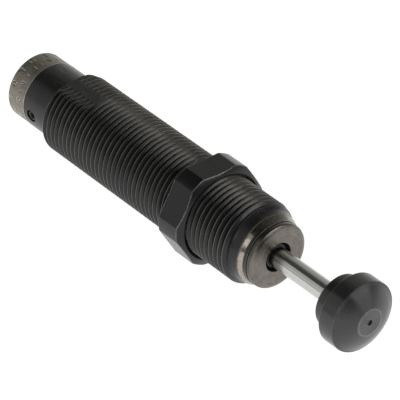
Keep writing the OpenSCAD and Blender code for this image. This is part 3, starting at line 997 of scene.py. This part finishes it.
    def screw_hole(self) -> Surface:
        """The hole's own wall: circles about the screw's axis, each lying on a round surface
        between the neck and the hub bore.

        Returns:
            The wall, facing the hole's axis.
        """
        turn = np.linspace(0, 2 * np.pi, 96, endpoint=False)[:, None]
        depth = np.linspace(self.neck, self.hub, 6)[None, :]
        angle = self.hole_angle + np.arcsin(self.hole * np.sin(turn) / depth)
        return Surface.of_grid(polar(self.hole_at + self.hole * np.cos(turn), depth, angle), wrap=0)

    def build(self) -> None:
        """Builds the body's mesh from its thread, neck, nose and bore."""
        rear, front, edge = self.span.rear, self.span.front, self.neck_edge
        angles = self.angles()
        ring = self.radius(np.full(len(angles), self.start), angles)
        shoulder = np.stack([np.full(len(angles), self.neck), ring], -1)
        step = swept(np.full(2, self.start), shoulder, np.zeros(2), angles)
        rear_face = [
            [rear + edge, self.hub, 0.0],
            [rear, self.hub + edge, 0.0],
            [rear, self.neck - edge, 0.0],
            [rear + edge, self.neck, 0.0],
        ]
        nose_at = self.end + self.nose_len
        nose = [
            [self.end, self.nose[0], 0.0],
            [nose_at, self.nose[1], 0.3],
            [nose_at + self.bare_len, self.lip, 0.05],
            [front, self.lip, 0.12],
            [front, self.bore, 0.1],
            [rear + self.bottom, self.bore, 0.0],
            [rear + self.bottom, self.hub, 0.0],
        ]
        throat = [[rear + self.bottom, self.hub, 0.0], [self.start, self.hub, 0.0]]
        surface = self.thread_surface().joined(
            step,
            self.pierced(self.neck, inward=False),
            turned(np.array(rear_face), angles),
            turned(rounded(nose, closed=False)[2:], angles),
            self.pierced(self.hub, inward=True),
            turned(np.array(throat), angles),
            self.screw_hole(),
        )
        # scuffs and worn flanks only on the upper side: partly wear, partly painted light falling there
        finish = BodyOxide(
            "black_oxide_thread",
            fresh="#191a1b",
            faded="#232322",
            index=1.45,
            crest=self.thread,
            scuffs=0.8,
            band=(nose_at + 0.06, nose_at + self.bare_len + 0.02),
        )
        self.place(mesh_object("threaded_body", surface, finish, 32.0), "black_oxide_steel", "outer_body")


@dataclass
class LockNut(SubAssembly):
    """A thin hexagon nut whose corners are turned down to narrow round lands, with the usual 30
    degree cone on its front."""

    body: str = "nut"
    node: str = "lock_nut"
    across: float = 23.0
    corner: float = 12.35
    bore: float = 10.03
    sink: float = 0.5
    edge: float = 0.1
    cone: float = 10.8

    def outline(self, angle: np.ndarray, inset: float | np.ndarray) -> np.ndarray:
        """Radius of the outline: the smaller of the hexagon's (af / 2) / cos and the land's
        circle, with the corner between them softened by a smooth minimum.

        Args:
            angle: angles round the axis.
            inset: how far the outline lies inside the full one.

        Returns:
            Radii.
        """
        soft = 0.012
        fold = (angle - np.pi / 2 + np.pi / 6) % (np.pi / 3) - np.pi / 6
        flat = (self.across / 2 - inset) / np.cos(fold)
        land = self.corner - inset
        least = np.minimum(flat, land)
        return least - soft * np.log(np.exp((least - flat) / soft) + np.exp((least - land) / soft))

    def build(self) -> None:
        """Builds the nut as a grid of outlines, bevelled at the back and coned in front.

        The cone starts at its radius in the front face and reaches a point of the outline at a
        depth of (r - cone) tan 30, so it meets the flats in shallow arcs.
        """
        rear, front, e = self.span.rear, self.span.front, self.edge
        corner = math.degrees(math.acos(self.across / 2 / self.corner))
        near = np.array([-0.9, -0.45, -0.2, 0.0, 0.2, 0.45, 0.9])
        extra = [90 + 60 * k + s * corner + d for k in range(6) for s in (-1, 1) for d in near]
        angles = full_turn(144, extra)
        full = self.outline(angles[:, None], 0.0)
        flush = 0 * full
        depth = (full - self.cone) * TAN_30
        back = self.outline(angles[:, None], np.array([4, 1, 0.3, 0, 0])[None, :] * e)
        back_at = rear + np.array([0, 0, 0.3, 1, 2]) * e
        side = [full, full, full - 0.3 * e, full - e, full - 2.5 * e]
        face = [flush + self.cone + e, flush + self.cone - e]
        side_depth = [depth + 2 * e, depth + 0.7 * e, depth, depth - 0.5 * e, depth - 1.44 * e]
        face_depth = [flush + 0.58 * e, flush]
        thread = [
            [front, self.bore + self.sink, 0.06],
            [front - self.sink, self.bore, 0.06],
            [rear + self.sink, self.bore, 0.06],
            [rear, self.bore + self.sink, 0.06],
        ]
        inner = rounded(thread, closed=False)
        count = (len(angles), len(inner))
        radii = np.hstack([back, *side, *face, np.broadcast_to(inner[:, 1], count), back[:, :1]])
        outer_at = [np.broadcast_to(back_at, back.shape), front - np.hstack([*side_depth, *face_depth])]
        stations = np.hstack([*outer_at, np.broadcast_to(inner[:, 0], count), flush + rear])
        worn = [0, 0.2, 1, 0.2, 0, 0, 0.15, 0.6, 0.15, 0, 0, 0]
        surface = swept(stations, radii, np.concatenate([worn, np.zeros(len(inner) + 1)]), angles)
        finish = BlackOxide(
            "black_oxide_nut",
            fresh="#151516",
            faded="#1c1c1d",
            marks=0.2,
            worn="#cfcecb",
            gloss=(0.2, 0.3),
            index=1.42,
        )
        self.place(mesh_object("hex_lock_nut", surface, finish, 30.0), "black_oxide_steel", "lock_nut")


class Stroke(Enum):
    """Single-line figures for an engraved scale, as x, y pairs on a 4 by 6 field."""

    ZERO = (0, 1, 0, 5, 1, 6, 3, 6, 4, 5, 4, 1, 3, 0, 1, 0, 0, 1)
    ONE = (0.8, 4.6, 2.2, 6, 2.2, 0)
    TWO = (0, 5, 1, 6, 3, 6, 4, 5, 4, 4, 0, 0, 4, 0)
    THREE = (0, 6, 4, 6, 1.8, 3.6, 3, 3.6, 4, 2.6, 4, 1, 3, 0, 1, 0, 0, 1)
    FOUR = (3, 0, 3, 6, 0, 2, 4, 2)
    FIVE = (4, 6, 0, 6, 0, 3.4, 3, 3.4, 4, 2.4, 4, 1, 3, 0, 0, 0)
    SIX = (3.6, 6, 1.6, 6, 0, 4, 0, 1, 1, 0, 3, 0, 4, 1, 4, 2.4, 3, 3.4, 0, 3.4)
    SEVEN = (0, 6, 4, 6, 1.6, 0)
    EIGHT = (
        *(1, 3.2, 0, 4.2, 0, 5.2, 1, 6, 3, 6, 4, 5.2, 4, 4.2, 3, 3.2),
        *(1, 3.2, 0, 2.2, 0, 1, 1, 0, 3, 0, 4, 1, 4, 2.2, 3, 3.2),
    )
    NINE = (0.4, 0, 2.4, 0, 4, 2, 4, 5, 3, 6, 1, 6, 0, 5, 0, 3.8, 1, 2.8, 4, 2.8)

    def segments(self) -> np.ndarray:
        """The figure's straight strokes, each as x0, y0, x1, y1."""
        line = np.asarray(self.value, float).reshape(-1, 2)
        return np.hstack([line[:-1], line[1:]])


@dataclass
class AdjusterKnob(SubAssembly):
    """The knob with its engraved scale: a ring of short lines and small figures near the neck,
    and a ring of larger figures near the rear edge.

    The size of a line or figure is its height and its foot's distance from the rear face.
    """

    body: str = "adjuster"
    node: str = "adjuster_knob"
    radius: float = 8.25
    chamfer: float = 0.5
    divisions: int = 24
    line_size: tuple[float, float] = (0.6, 3.85)
    figure_size: tuple[float, float] = (1.1, 3.6)
    large_count: int = 15
    large_size: tuple[float, float] = (1.35, 0.95)
    depth: float = 0.17
    half_width: float = 0.2
    rows: int = 620
    columns: int = 84

    def strokes(self) -> np.ndarray:
        """All engraved strokes, unrolled: places round the knob in millimetres and stations.

        The figures stand upright when the knob is seen with its rear face down.

        Returns:
            One row per stroke: round 0, station 0, round 1, station 1.
        """
        figures = [figure.segments() for figure in Stroke]
        line = np.array([[2.0, 0.0, 2.0, 6.0]])
        narrow = 2 * np.pi * self.radius / self.divisions
        wide = 2 * np.pi * self.radius / self.large_count
        parts = []
        for k in range(self.divisions):
            lines, size = (figures[(k // 2) % 10], self.figure_size) if k % 2 else (line, self.line_size)
            parts.append(self.placed(lines, narrow * (k + 0.5), size))
        for k in range(self.large_count):
            parts.append(self.placed(figures[(3 * k + 8) % 10], wide * (k + 0.3), self.large_size))
        return np.vstack(parts)

    def placed(self, lines: np.ndarray, middle: float, size: tuple[float, float]) -> np.ndarray:
        """Moves a figure from its field onto the knob.

        Args:
            lines: strokes on the 4 by 6 field.
            middle: place of its middle, round the knob.
            size: its height and its foot's distance from the rear face.

        Returns:
            Strokes on the unrolled knob.
        """
        scale, low = size[0] / 6.0, self.span.rear + size[1]
        across, along = middle + (2.0 - lines[:, ::2]) * scale, low + lines[:, 1::2] * scale
        return np.stack([across, along], axis=-1).reshape(-1, 4)

    def groove(self, angle: np.ndarray, station: np.ndarray) -> np.ndarray:
        """How deep each point lies in a groove, from 0 to 1: 1 - d / half width, where d is the
        distance to the nearest stroke, measured on the unrolled knob.

        Args:
            angle: angles of the rows.
            station: stations of the columns.

        Returns:
            A share for each row and column.
        """
        far, reach = 9.0, 1.5
        whole = 2 * np.pi * self.radius
        round_at, x = (angle * self.radius)[:, None], station[None, :]
        nearest = np.full((len(angle), len(station)), far)
        for a0, x0, a1, x1 in self.strokes():
            near = np.abs((round_at[:, 0] - (a0 + a1) / 2 + whole / 2) % whole - whole / 2) < reach
            from_start = (round_at[near] - a0 + whole / 2) % whole - whole / 2
            length = max((a1 - a0) ** 2 + (x1 - x0) ** 2, 1e-9)
            share = np.clip((from_start * (a1 - a0) + (x - x0) * (x1 - x0)) / length, 0, 1)
            gap = np.hypot(from_start - share * (a1 - a0), x - x0 - share * (x1 - x0))
            nearest[near] = np.minimum(nearest[near], gap)
        return np.clip(1 - nearest / self.half_width, 0, 1)

    def build(self) -> None:
        """Builds the knob: a fine grid for the engraved side, and its two faces."""
        rear_at, front_at = self.span.rear, self.span.front
        angles = full_turn(self.rows)
        c = self.chamfer
        side = np.linspace(rear_at + c + 0.1, front_at - 0.2, self.columns)
        share = self.groove(angles, side)
        share[:, [0, -1]] = 0.0
        points = polar(side, self.radius - self.depth * share, angles[:, None])
        surface = Surface.of_grid(points, 0, share)
        rear = [
            [rear_at, 0.0, 0.0],
            [rear_at, self.radius - c, 0.12],
            [rear_at + c, self.radius, 0.1],
            [side[0], self.radius, 0.0],
        ]
        front = [
            [side[-1], self.radius, 0.0],
            [front_at, self.radius, 0.12],
            [front_at, 3.2, 0.0],
            [front_at - 0.4, 3.2, 0.0],
            [front_at - 0.4, 0.0, 0.0],
        ]
        faces = [turned(rounded(section, closed=False)[2:-2], angles) for section in (rear, front)]
        finish = EngravedSteel(
            "blasted_steel_scale",
            light="#9f998f",
            dark="#756f67",
            gloss=(0.38, 0.48),
            marks=0.3,
            metallic=0.8,
            rim=(front_at - 0.25, front_at - 0.1),
        )
        made = mesh_object("scale_knob", surface.joined(*faces), finish, 50.0)
        self.place(made, "knob_steel", "adjuster_knob")


@dataclass
class LockScrew(SubAssembly):
    """The set screw that locks the adjuster: cup point, bevelled end and a hexagon socket."""

    body: str = "screw"
    diameter: float = 3.0
    point: float = 1.7
    socket: float = 1.5
    socket_depth: float = 1.6
    tip: float = 4.15
    head: float = 8.0
    station: float = 2.8
    angle: float = 185.5

    def build(self) -> None:
        """Builds the screw about its own axis and turns it into the neck."""
        turn = np.linspace(0, 2 * np.pi, 72, endpoint=False)
        fold = (turn + np.pi / 6) % (np.pi / 3) - np.pi / 6
        hexagon = self.socket / 2 / np.cos(fold)
        r, floor = self.diameter / 2, self.head - self.socket_depth
        outside = [
            [self.tip + 0.3, 0.0, 0.0],
            [self.tip, self.point / 2 - 0.15, 0.03],
            [self.tip, self.point / 2, 0.03],
            [self.tip + r - self.point / 2, r, 0.05],
            [self.head - 0.45, r, 0.06],
            [self.head, r - 0.42, 0.06],
            [self.head, 1.0, 0.0],
        ]
        round_part = rounded(outside, closed=False)[2:-2]
        socket_radii = np.stack([hexagon * 1.03, hexagon, hexagon, 0 * hexagon], -1)
        radii = np.hstack([np.broadcast_to(round_part[:, 1], (len(turn), len(round_part))), socket_radii])
        socket = [self.head - 0.12, self.head - 0.16, floor, floor - 0.3]
        height = np.broadcast_to(np.concatenate([round_part[:, 0], socket]), radii.shape)
        out = math.radians(self.angle)
        across = radii * np.sin(turn)[:, None]
        x = Span.of("outer_body").rear + self.station + radii * np.cos(turn)[:, None]
        y = height * math.cos(out) - across * math.sin(out)
        z = height * math.sin(out) + across * math.cos(out)
        surface = Surface.of_grid(np.stack([x, y, z], axis=-1), wrap=0)
        finish = BlackOxide(
            "black_oxide_screw", fresh="#2b2b2c", faded="#3a3938", marks=0.3, gloss=(0.3, 0.4)
        )
        self.place(mesh_object("set_screw", surface, finish, 35.0), "screw_black", "lock_screw")


@dataclass
class FrontEnd(SubAssembly):
    """The retaining cap with its bevelled face and the wiper ring inside its hole."""

    body: str = "housing"
    flange: float = 7.85
    thread: float = 6.99
    hole: float = 3.495
    seat: float = 4.195
    face_bevel: tuple[float, float] = (0.475, 0.95)
    neck_len: float = 3.0
    undercut: float = 0.25
    ring_bore: float = 3.0
    lip: float = 2.405

    def cap(self) -> None:
        """Turns the cap: spigot, undercut, flange with its bevel, face and stepped hole."""
        span = Span.of("front_cap")
        back, front = span.rear + self.neck_len, span.front
        long, deep = self.face_bevel
        section = [
            [span.rear, self.hole - 0.5, 0.05],
            [span.rear, self.thread, 0.1],
            [back, self.thread, 0.0],
            [back, self.flange - self.undercut, 0.0],
            [back + self.undercut, self.flange - self.undercut, 0.0],
            [back + self.undercut, self.flange, 0.06],
            [front - long, self.flange, 0.3],
            [front, self.flange - deep, 0.3],
            [front, self.hole + 0.12, 0.05],
            [front - 0.12, self.hole, 0.05],
            [front - 0.6, self.hole, 0.03],
            [front - 0.6, self.seat, 0.0],
            [front - 2.6, self.seat, 0.0],
            [front - 2.6, self.hole - 0.5, 0.03],
        ]
        finish = TurnedSteel(
            "turned_steel_cap",
            light="#817c75",
            dark="#66625c",
            gloss=(0.28, 0.38),
            spots=0.6,
            lay=0.5,
            depth=0.003,
            oxide_from=self.flange,
        )
        made = mesh_object("retaining_cap", turned(rounded(section, steps=4), full_turn(176)), finish, 40.0)
        self.place(made, "cap_steel", "front_cap")

    def wiper(self) -> None:
        """Moulds the wiper ring, whose thin lip touches the rod."""
        span = Span.of("wiper_ring")
        rear, front = span.rear, span.front
        section = [
            [rear, self.ring_bore, 0.05],
            [rear, span.radius, 0.05],
            [front - 0.8, span.radius, 0.1],
            [front - 0.8, 3.3, 0.1],
            [front, self.lip + 0.35, 0.06],
            [front, self.lip, 0.03],
            [front - 0.5, self.lip, 0.05],
            [rear + 1.3, self.ring_bore, 0.1],
        ]
        finish = Moulded("nitrile_rubber_wiper", light="#2c2b2a", dark="#1a1a1a", gloss=0.45)
        made = mesh_object("rod_wiper", turned(rounded(section, steps=4), full_turn(144)), finish)
        self.place(made, "nitrile_rubber", "wiper_ring")

    def build(self) -> None:
        """Builds the cap and its wiper."""
        self.cap()
        self.wiper()


@dataclass
class RodAndButton(SubAssembly):
    """The chromed piston rod with its thinner stem, and the load button that is screwed onto it."""

    body: str = "rod"
    node: str = "piston_rod"
    stem: float = 1.75
    rod: float = 2.375
    piston_front: float = 8.7
    collar: float = 6.35
    collar_len: float = 3.6
    rim: float = 8.5
    rim_len: float = 4.25
    flat: float = 3.15
    hole: float = 0.6
    bulge: float = 0.25
    rubbed_flat: float = 0.17
    rubbed_corner: float = 0.5
    rubbed_edge: float = 0.3

    def piston_rod(self) -> None:
        """Grinds the rod and its stem."""
        rear, front = self.span.rear, self.span.front
        step = rear + self.piston_front
        section = [
            [rear, 0.0, 0.0],
            [rear, self.stem, 0.2],
            [step, self.stem, 0.0],
            [step, self.rod, 0.05],
            [front, self.rod, 0.2],
            [front, 0.0, 0.0],
        ]
        surface = turned(rounded(section, closed=False)[2:-2], full_turn(160))
        made = mesh_object("chromed_rod", surface, HardChrome("hard_chrome_rod"))
        self.place(made, "hard_chrome", "piston_rod")

    def button(self) -> None:
        """Turns the button: rear collar, full rim, domed front and centre-drilled flat, with a
        hole that ends at the rod's front end.

        The dome runs straight from rim to flat and bulges by a sine: s(t) = bulge sin(pi t).
        """
        span, rod_front = Span.of("impact_button"), self.span.front
        rear_at, front_at = span.rear, span.front
        rim_at = rear_at + self.collar_len
        dome_at = rim_at + self.rim_len
        t = np.linspace(0, 1, 15)
        swell = self.bulge * np.sin(np.pi * t)
        dome_station = dome_at + (front_at - dome_at) * t + swell
        dome_radius = self.rim + (self.flat - self.rim) * t + 0.4 * swell
        dome = np.stack([dome_station, dome_radius, 0 * t], axis=-1)
        bore = self.rod + 0.01
        back_corners = [
            [rod_front, bore, 0.0],
            [rear_at, bore, 0.0],
            [rear_at, self.collar, 0.35],
            [rim_at, self.collar, 0.1],
            [rim_at, self.rim, 0.22],
            [dome_at, self.rim, 0.16],
            [dome_at + 0.4, self.rim - 0.4, 0.0],
        ]
        front_corners = [
            [front_at - 0.1, self.flat + 0.3, 0.0],
            [front_at, self.flat, 0.03],
            [front_at, self.flat - 0.22, 0.0],
            [front_at, self.hole + 0.08, 0.04],
            [front_at - 0.5, self.hole, 0.03],
            [front_at - 1.0, 0.0, 0.0],
        ]
        back = rounded(back_corners, steps=4, closed=False)[2:-7]
        back[:, 2] *= self.rubbed_edge
        front = rounded(front_corners, closed=False)[6:-2]
        edge = np.where(front[:, 1] > self.flat - 0.1, self.rubbed_corner, self.rubbed_flat)
        front[:, 2] = np.where(front[:, 0] > front_at - 0.06, edge, 0.0)
        profile = np.vstack([back, dome[1:-1], front, [[rod_front, 0.0, 0.0], [rod_front, bore, 0.0]]])
        finish = BlackOxide(
            "black_oxide_button",
            fresh="#1a1b1b",
            faded="#232423",
            worn="#acacaa",
            marks=0.4,
            gloss=(0.27, 0.34),
            index=1.6,
            depth=0.008,
            lay=0.97,
            bloom=0.9,
        )
        made = mesh_object("load_button", turned(profile, full_turn(176)), finish, 24.0)
        self.place(made, "button_steel", "impact_button")

    def build(self) -> None:
        """Builds the rod and the button."""
        self.piston_rod()
        self.button()


@dataclass
class ReturnSpring(SubAssembly):
    """The return spring: round wire on a helix, closed at both ends."""

    body: str = "housing"
    node: str = "return_spring"
    wire: float = 0.8
    turns: float = 11.0
    steps: int = 40
    sides: int = 14
    fixed: float = -46.05
    stroke: float = 19.0
    seat_gap: float = 0.05

    def build(self) -> None:
        """Sweeps the wire's circle along the helix (x(t), R cos 2 pi t, R sin 2 pi t).

        The first and the last turn rise by little more than the wire's thickness.
        """
        half = self.wire / 2
        coil = self.span.radius - half
        first, last = self.span.rear + half, self.span.front - half
        closed_rise = 1.05 * self.wire
        open_rise = (last - first - 2 * closed_rise) / (self.turns - 2)
        t = np.linspace(0, self.turns, int(self.turns * self.steps) + 1)
        rise = (
            closed_rise * np.minimum(t, 1)
            + open_rise * np.maximum(0, np.minimum(t, self.turns - 1) - 1)
            + closed_rise * np.maximum(0, t - self.turns + 1)
        )
        b = 2 * np.pi * np.arange(self.sides + 1) / self.sides
        x = (first + rise)[:, None] + half * np.sin(b)[None, :]
        coils = polar(x, coil + half * np.cos(b), 2 * np.pi * t[:, None])
        ends = polar(x[[0, -1], 0], np.array(coil), 2 * np.pi * t[[0, -1]])[:, None]
        caps = np.broadcast_to(ends, (2, *coils.shape[1:]))
        surface = Surface.of_grid(np.concatenate([caps[:1], coils, caps[1:]]))
        surface.faces = surface.faces[:, ::-1]
        finish = TurnedSteel(
            "drawn_spring_wire", light="#8f9093", dark="#6d6e71", gloss=(0.25, 0.35), marks=0.5, depth=0.002
        )
        made = mesh_object("coil_spring", surface, finish)
        self.place(made, "spring_steel", "return_spring")
        fixed, stroke = self.fixed, self.stroke
        free = self.span.front + self.seat_gap - fixed
        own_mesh(made)


@dataclass
class FoamRing(SubAssembly):
    """The accumulator's foam ring, which takes up the oil that the rod displaces."""

    body: str = "housing"
    node: str = "accumulator_foam"
    inner: float = 4.95
    sag: float = 0.04
    waves: int = 9

    def build(self) -> None:
        """Cuts the ring, with surfaces that swell softly between its rounded edges."""
        rear, front, outer = self.span.rear, self.span.front, self.span.radius
        angles = full_turn(120)
        section = [
            [rear, self.inner, 0.3],
            [rear, outer, 0.4],
            [front, outer, 0.4],
            [front, self.inner, 0.3],
        ]
        profile = rounded(section, steps=5)
        share = (profile[:, 0] - rear) / (front - rear)
        swell = self.sag * np.sin(self.waves * angles)[:, None] * np.sin(np.pi * share)[None, :]
        outward = np.where(profile[:, 1] > (outer + self.inner) / 2, -1.0, 1.0)
        radii = profile[None, :, 1] + outward * (self.sag + swell)
        finish = ClosedCellFoam("elastomer_foam")
        made = mesh_object("foam_ring", turned(profile, angles, radii), finish, 60.0)
        self.place(made, "foam", "accumulator_foam")


class Sealed(Enum):
    """CAD nodes inside the body that keep their shape, with their finishes."""

    SHAFT = ("adjuster_shaft", TurnedSteel("turned_steel_shaft", light="#a8a49c", dark="#8b877f"))
    SHAFT_RING = ("adjuster_o_ring", Moulded("nitrile_rubber_ring"))
    SLEEVE = (
        "metering_sleeve",
        TurnedSteel("sintered_bronze", light="#b59a5c", dark="#967c43", gloss=(0.35, 0.5), marks=0.35),
    )
    TUBE = (
        "pressure_tube",
        TurnedSteel("honed_steel_tube", light="#9a9a98", dark="#80807e", gloss=(0.22, 0.32)),
    )
    PISTON = ("piston", TurnedSteel("turned_steel_piston", light="#94928e", dark="#75736f"))
    PISTON_RING = (
        "piston_ring",
        Moulded("ptfe_ring", light="#e9e6dd", dark="#dcd8cd", gloss=0.45, depth=0.003),
    )
    DISC = ("check_disc", TurnedSteel("stamped_steel_disc", light="#b9b6ae", dark="#9c998f"))
    SEAT = ("spring_seat", TurnedSteel("turned_steel_seat", light="#85868a", dark="#696a6d"))
    NUT = ("piston_nut", TurnedSteel("zinc_steel_nut", light="#94969a", dark="#75777a"))
    HOUSING = ("bearing_housing", TurnedSteel("turned_steel_housing", light="#8f897f", dark="#6f6960"))
    BUSH = ("rod_bearing", TurnedSteel("bronze_bush", light="#b0843f", dark="#8d682c", gloss=(0.3, 0.42)))
    HOUSING_RING = ("housing_o_ring", Moulded("nitrile_rubber_ring"))
    SEAL = (
        "rod_seal",
        Moulded("polyurethane_seal", light="#47805f", dark="#346a4b", gloss=0.4, depth=0.003),
    )
    WASHER = (
        "seal_washer",
        Moulded("ptfe_washer", light="#d3cfc4", dark="#c2bdb0", gloss=0.45, depth=0.003),
    )

    def dress(self, nodes: Mapping[str, Item]) -> None:
        """Gives the CAD node its finish.

        Args:
            nodes: all CAD nodes' objects by name.
        """
        name, finish = self.value
        for place in nodes[name].material_slots:
            place.material = finish.material()
        log.info("%s: dressed in %s", nodes[name].name, finish.name)


# ---------------------------------------------------------------- studio


@dataclass
class Studio:
    """A glowing white table, a long soft panel on one side, two small ones in front, dim and
    faintly warm walls and a dark ceiling."""

    floor: float = -11.5
    half_table: float = 900.0
    lens: float = 275.8
    camera_place: tuple[float, float, float] = (0.42145, -0.3481, 0.3933)
    camera_right: tuple[float, float, float] = (0.62994, 0.77664, 0.0)
    camera_up: tuple[float, float, float] = (-0.45008, 0.36506, 0.81496)
    warmth: tuple[float, float, float, float] = (1.0, 1.0, 0.95, 1.0)

    def camera(self) -> None:
        """Sets up the camera: a long lens, looking down at the side and the front."""
        data = bpy.data.cameras.new("camera")
        data.lens = self.lens
        data.sensor_width = 36.0
        data.clip_start, data.clip_end = 0.05, 20.0
        made = bpy.data.objects.new("camera", data)
        right, up = Vector(self.camera_right).normalized(), Vector(self.camera_up).normalized()
        turn = Matrix((right, up, right.cross(up).normalized())).transposed().to_4x4()
        made.matrix_world = Matrix.Translation(self.camera_place) @ turn
        bpy.context.scene.collection.objects.link(made)
        bpy.context.scene.camera = made

    def table(self) -> None:
        """Lays the white table under the nut's lower flat."""
        z, h = self.floor, self.half_table
        points = np.array([[-h, -h, z], [h, -h, z], [h, h, z], [-h, h, z]])
        made = mesh_object("table", Surface(points, np.array([[0, 1, 2, 3]])), StudioPaper("white_table"))

    def panel(self, name: str, centre: Sequence[float], size: tuple[float, float], power: float) -> None:
        """Hangs a soft panel that faces the object.

        Args:
            name: its name.
            centre: its middle, in metres.
            size: its length and height, in metres.
            power: its power in watts.
        """
        data = bpy.data.lights.new(name, "AREA")
        data.shape = "RECTANGLE"
        data.size, data.size_y = size
        data.energy = power
        made = bpy.data.objects.new(name, data)
        way = Vector((0.0, 0.0, 0.0)) - Vector(centre)
        made.matrix_world = Matrix.Translation(centre) @ way.to_track_quat("-Z", "Y").to_matrix().to_4x4()
        made.visible_camera = False
        bpy.context.scene.collection.objects.link(made)

    def surroundings(self) -> None:
        """Lights the room: dark overhead, walls that brighten towards the table's level.

        With e as the sine of the height above the horizon, the room's brightness is
        0.04 + 0.62 exp(-e / 0.27), with a paler wall on the right. In front it is dark on the
        left and 0.6 exp(-e / 0.3) on the right.
        """
        world = bpy.data.worlds.new("room")
        bpy.context.scene.world = world
        world.use_nodes = True
        world.node_tree.nodes.clear()
        add = partial(add_node, world.node_tree)
        way = add("TexCoord").outputs["Generated"]
        ahead_by, right_by, up_by = add("SeparateXYZ", links={0: way}).outputs
        height = add("Math", {"operation": "MAXIMUM", 1: 0.0}, {0: up_by})
        fall = add("Math", {"operation": "MULTIPLY", 1: -1 / 0.27}, {0: height})
        glow = add("Math", {"operation": "EXPONENT"}, {0: fall})
        room = add("Math", {"operation": "MULTIPLY_ADD", 1: 0.62, 2: 0.04}, {0: glow})
        smooth = {"interpolation_type": "SMOOTHSTEP"}
        right = add("MapRange", {**smooth, 1: 0.0, 2: 0.5}, {0: right_by})
        behind = add("MapRange", {**smooth, 1: 0.1, 2: -0.5, 4: 0.32}, {0: ahead_by})
        rear = add("Math", {"operation": "MULTIPLY_ADD"}, {0: right, 1: behind, 2: room})
        slow_fall = add("Math", {"operation": "MULTIPLY", 1: -1 / 0.3}, {0: height})
        slow_glow = add("Math", {"operation": "EXPONENT"}, {0: slow_fall})
        lit = add("MapRange", {**smooth, 1: -0.05, 2: 0.35, 3: 0.1, 4: 0.6}, {0: right_by})
        front = add("Math", {"operation": "MULTIPLY"}, {0: slow_glow, 1: lit})
        ahead = add("MapRange", {**smooth, 1: 0.1, 2: 0.6}, {0: ahead_by})
        whole = add("Mix", links={0: ahead, 2: rear, 3: front})
        add("OutputWorld", links={0: add("Background", {0: self.warmth}, {1: whole})})

    def build(self) -> None:
        """Builds camera, table and lights."""
        self.camera()
        self.table()
        self.surroundings()
        self.panel("long_side_panel", (0.0, -0.580, 0.391), (1.9, 0.60), 1.6)
        self.panel("front_left_panel", (0.380, -0.520, 0.290), (0.30, 0.22), 0.17)
        self.panel("front_high_panel", (0.545, 0.250, 0.350), (0.55, 0.24), 1.42)
        bpy.context.scene.view_settings.view_transform = "Standard"
        log.info("studio ready")


def corners(box: tuple[Vector, Vector]) -> list[list[float]]:
    """A box's two corners as plain lists."""
    return [list(box[0]), list(box[1])]


def main() -> None:
    """Loads the CAD frame, and builds and dresses every piece."""
    logging.basicConfig(level=logging.INFO, format="%(name)s: %(message)s")
    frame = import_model()
    Studio().build()
    groups = [ThreadedBody, LockNut, AdjusterKnob, LockScrew]
    groups += [FrontEnd, RodAndButton, ReturnSpring, FoamRing]
    for group in groups:
        group().build()
    for piece in Sealed:
        piece.dress(frame["nodes"])


if __name__ == "__main__":
    main()
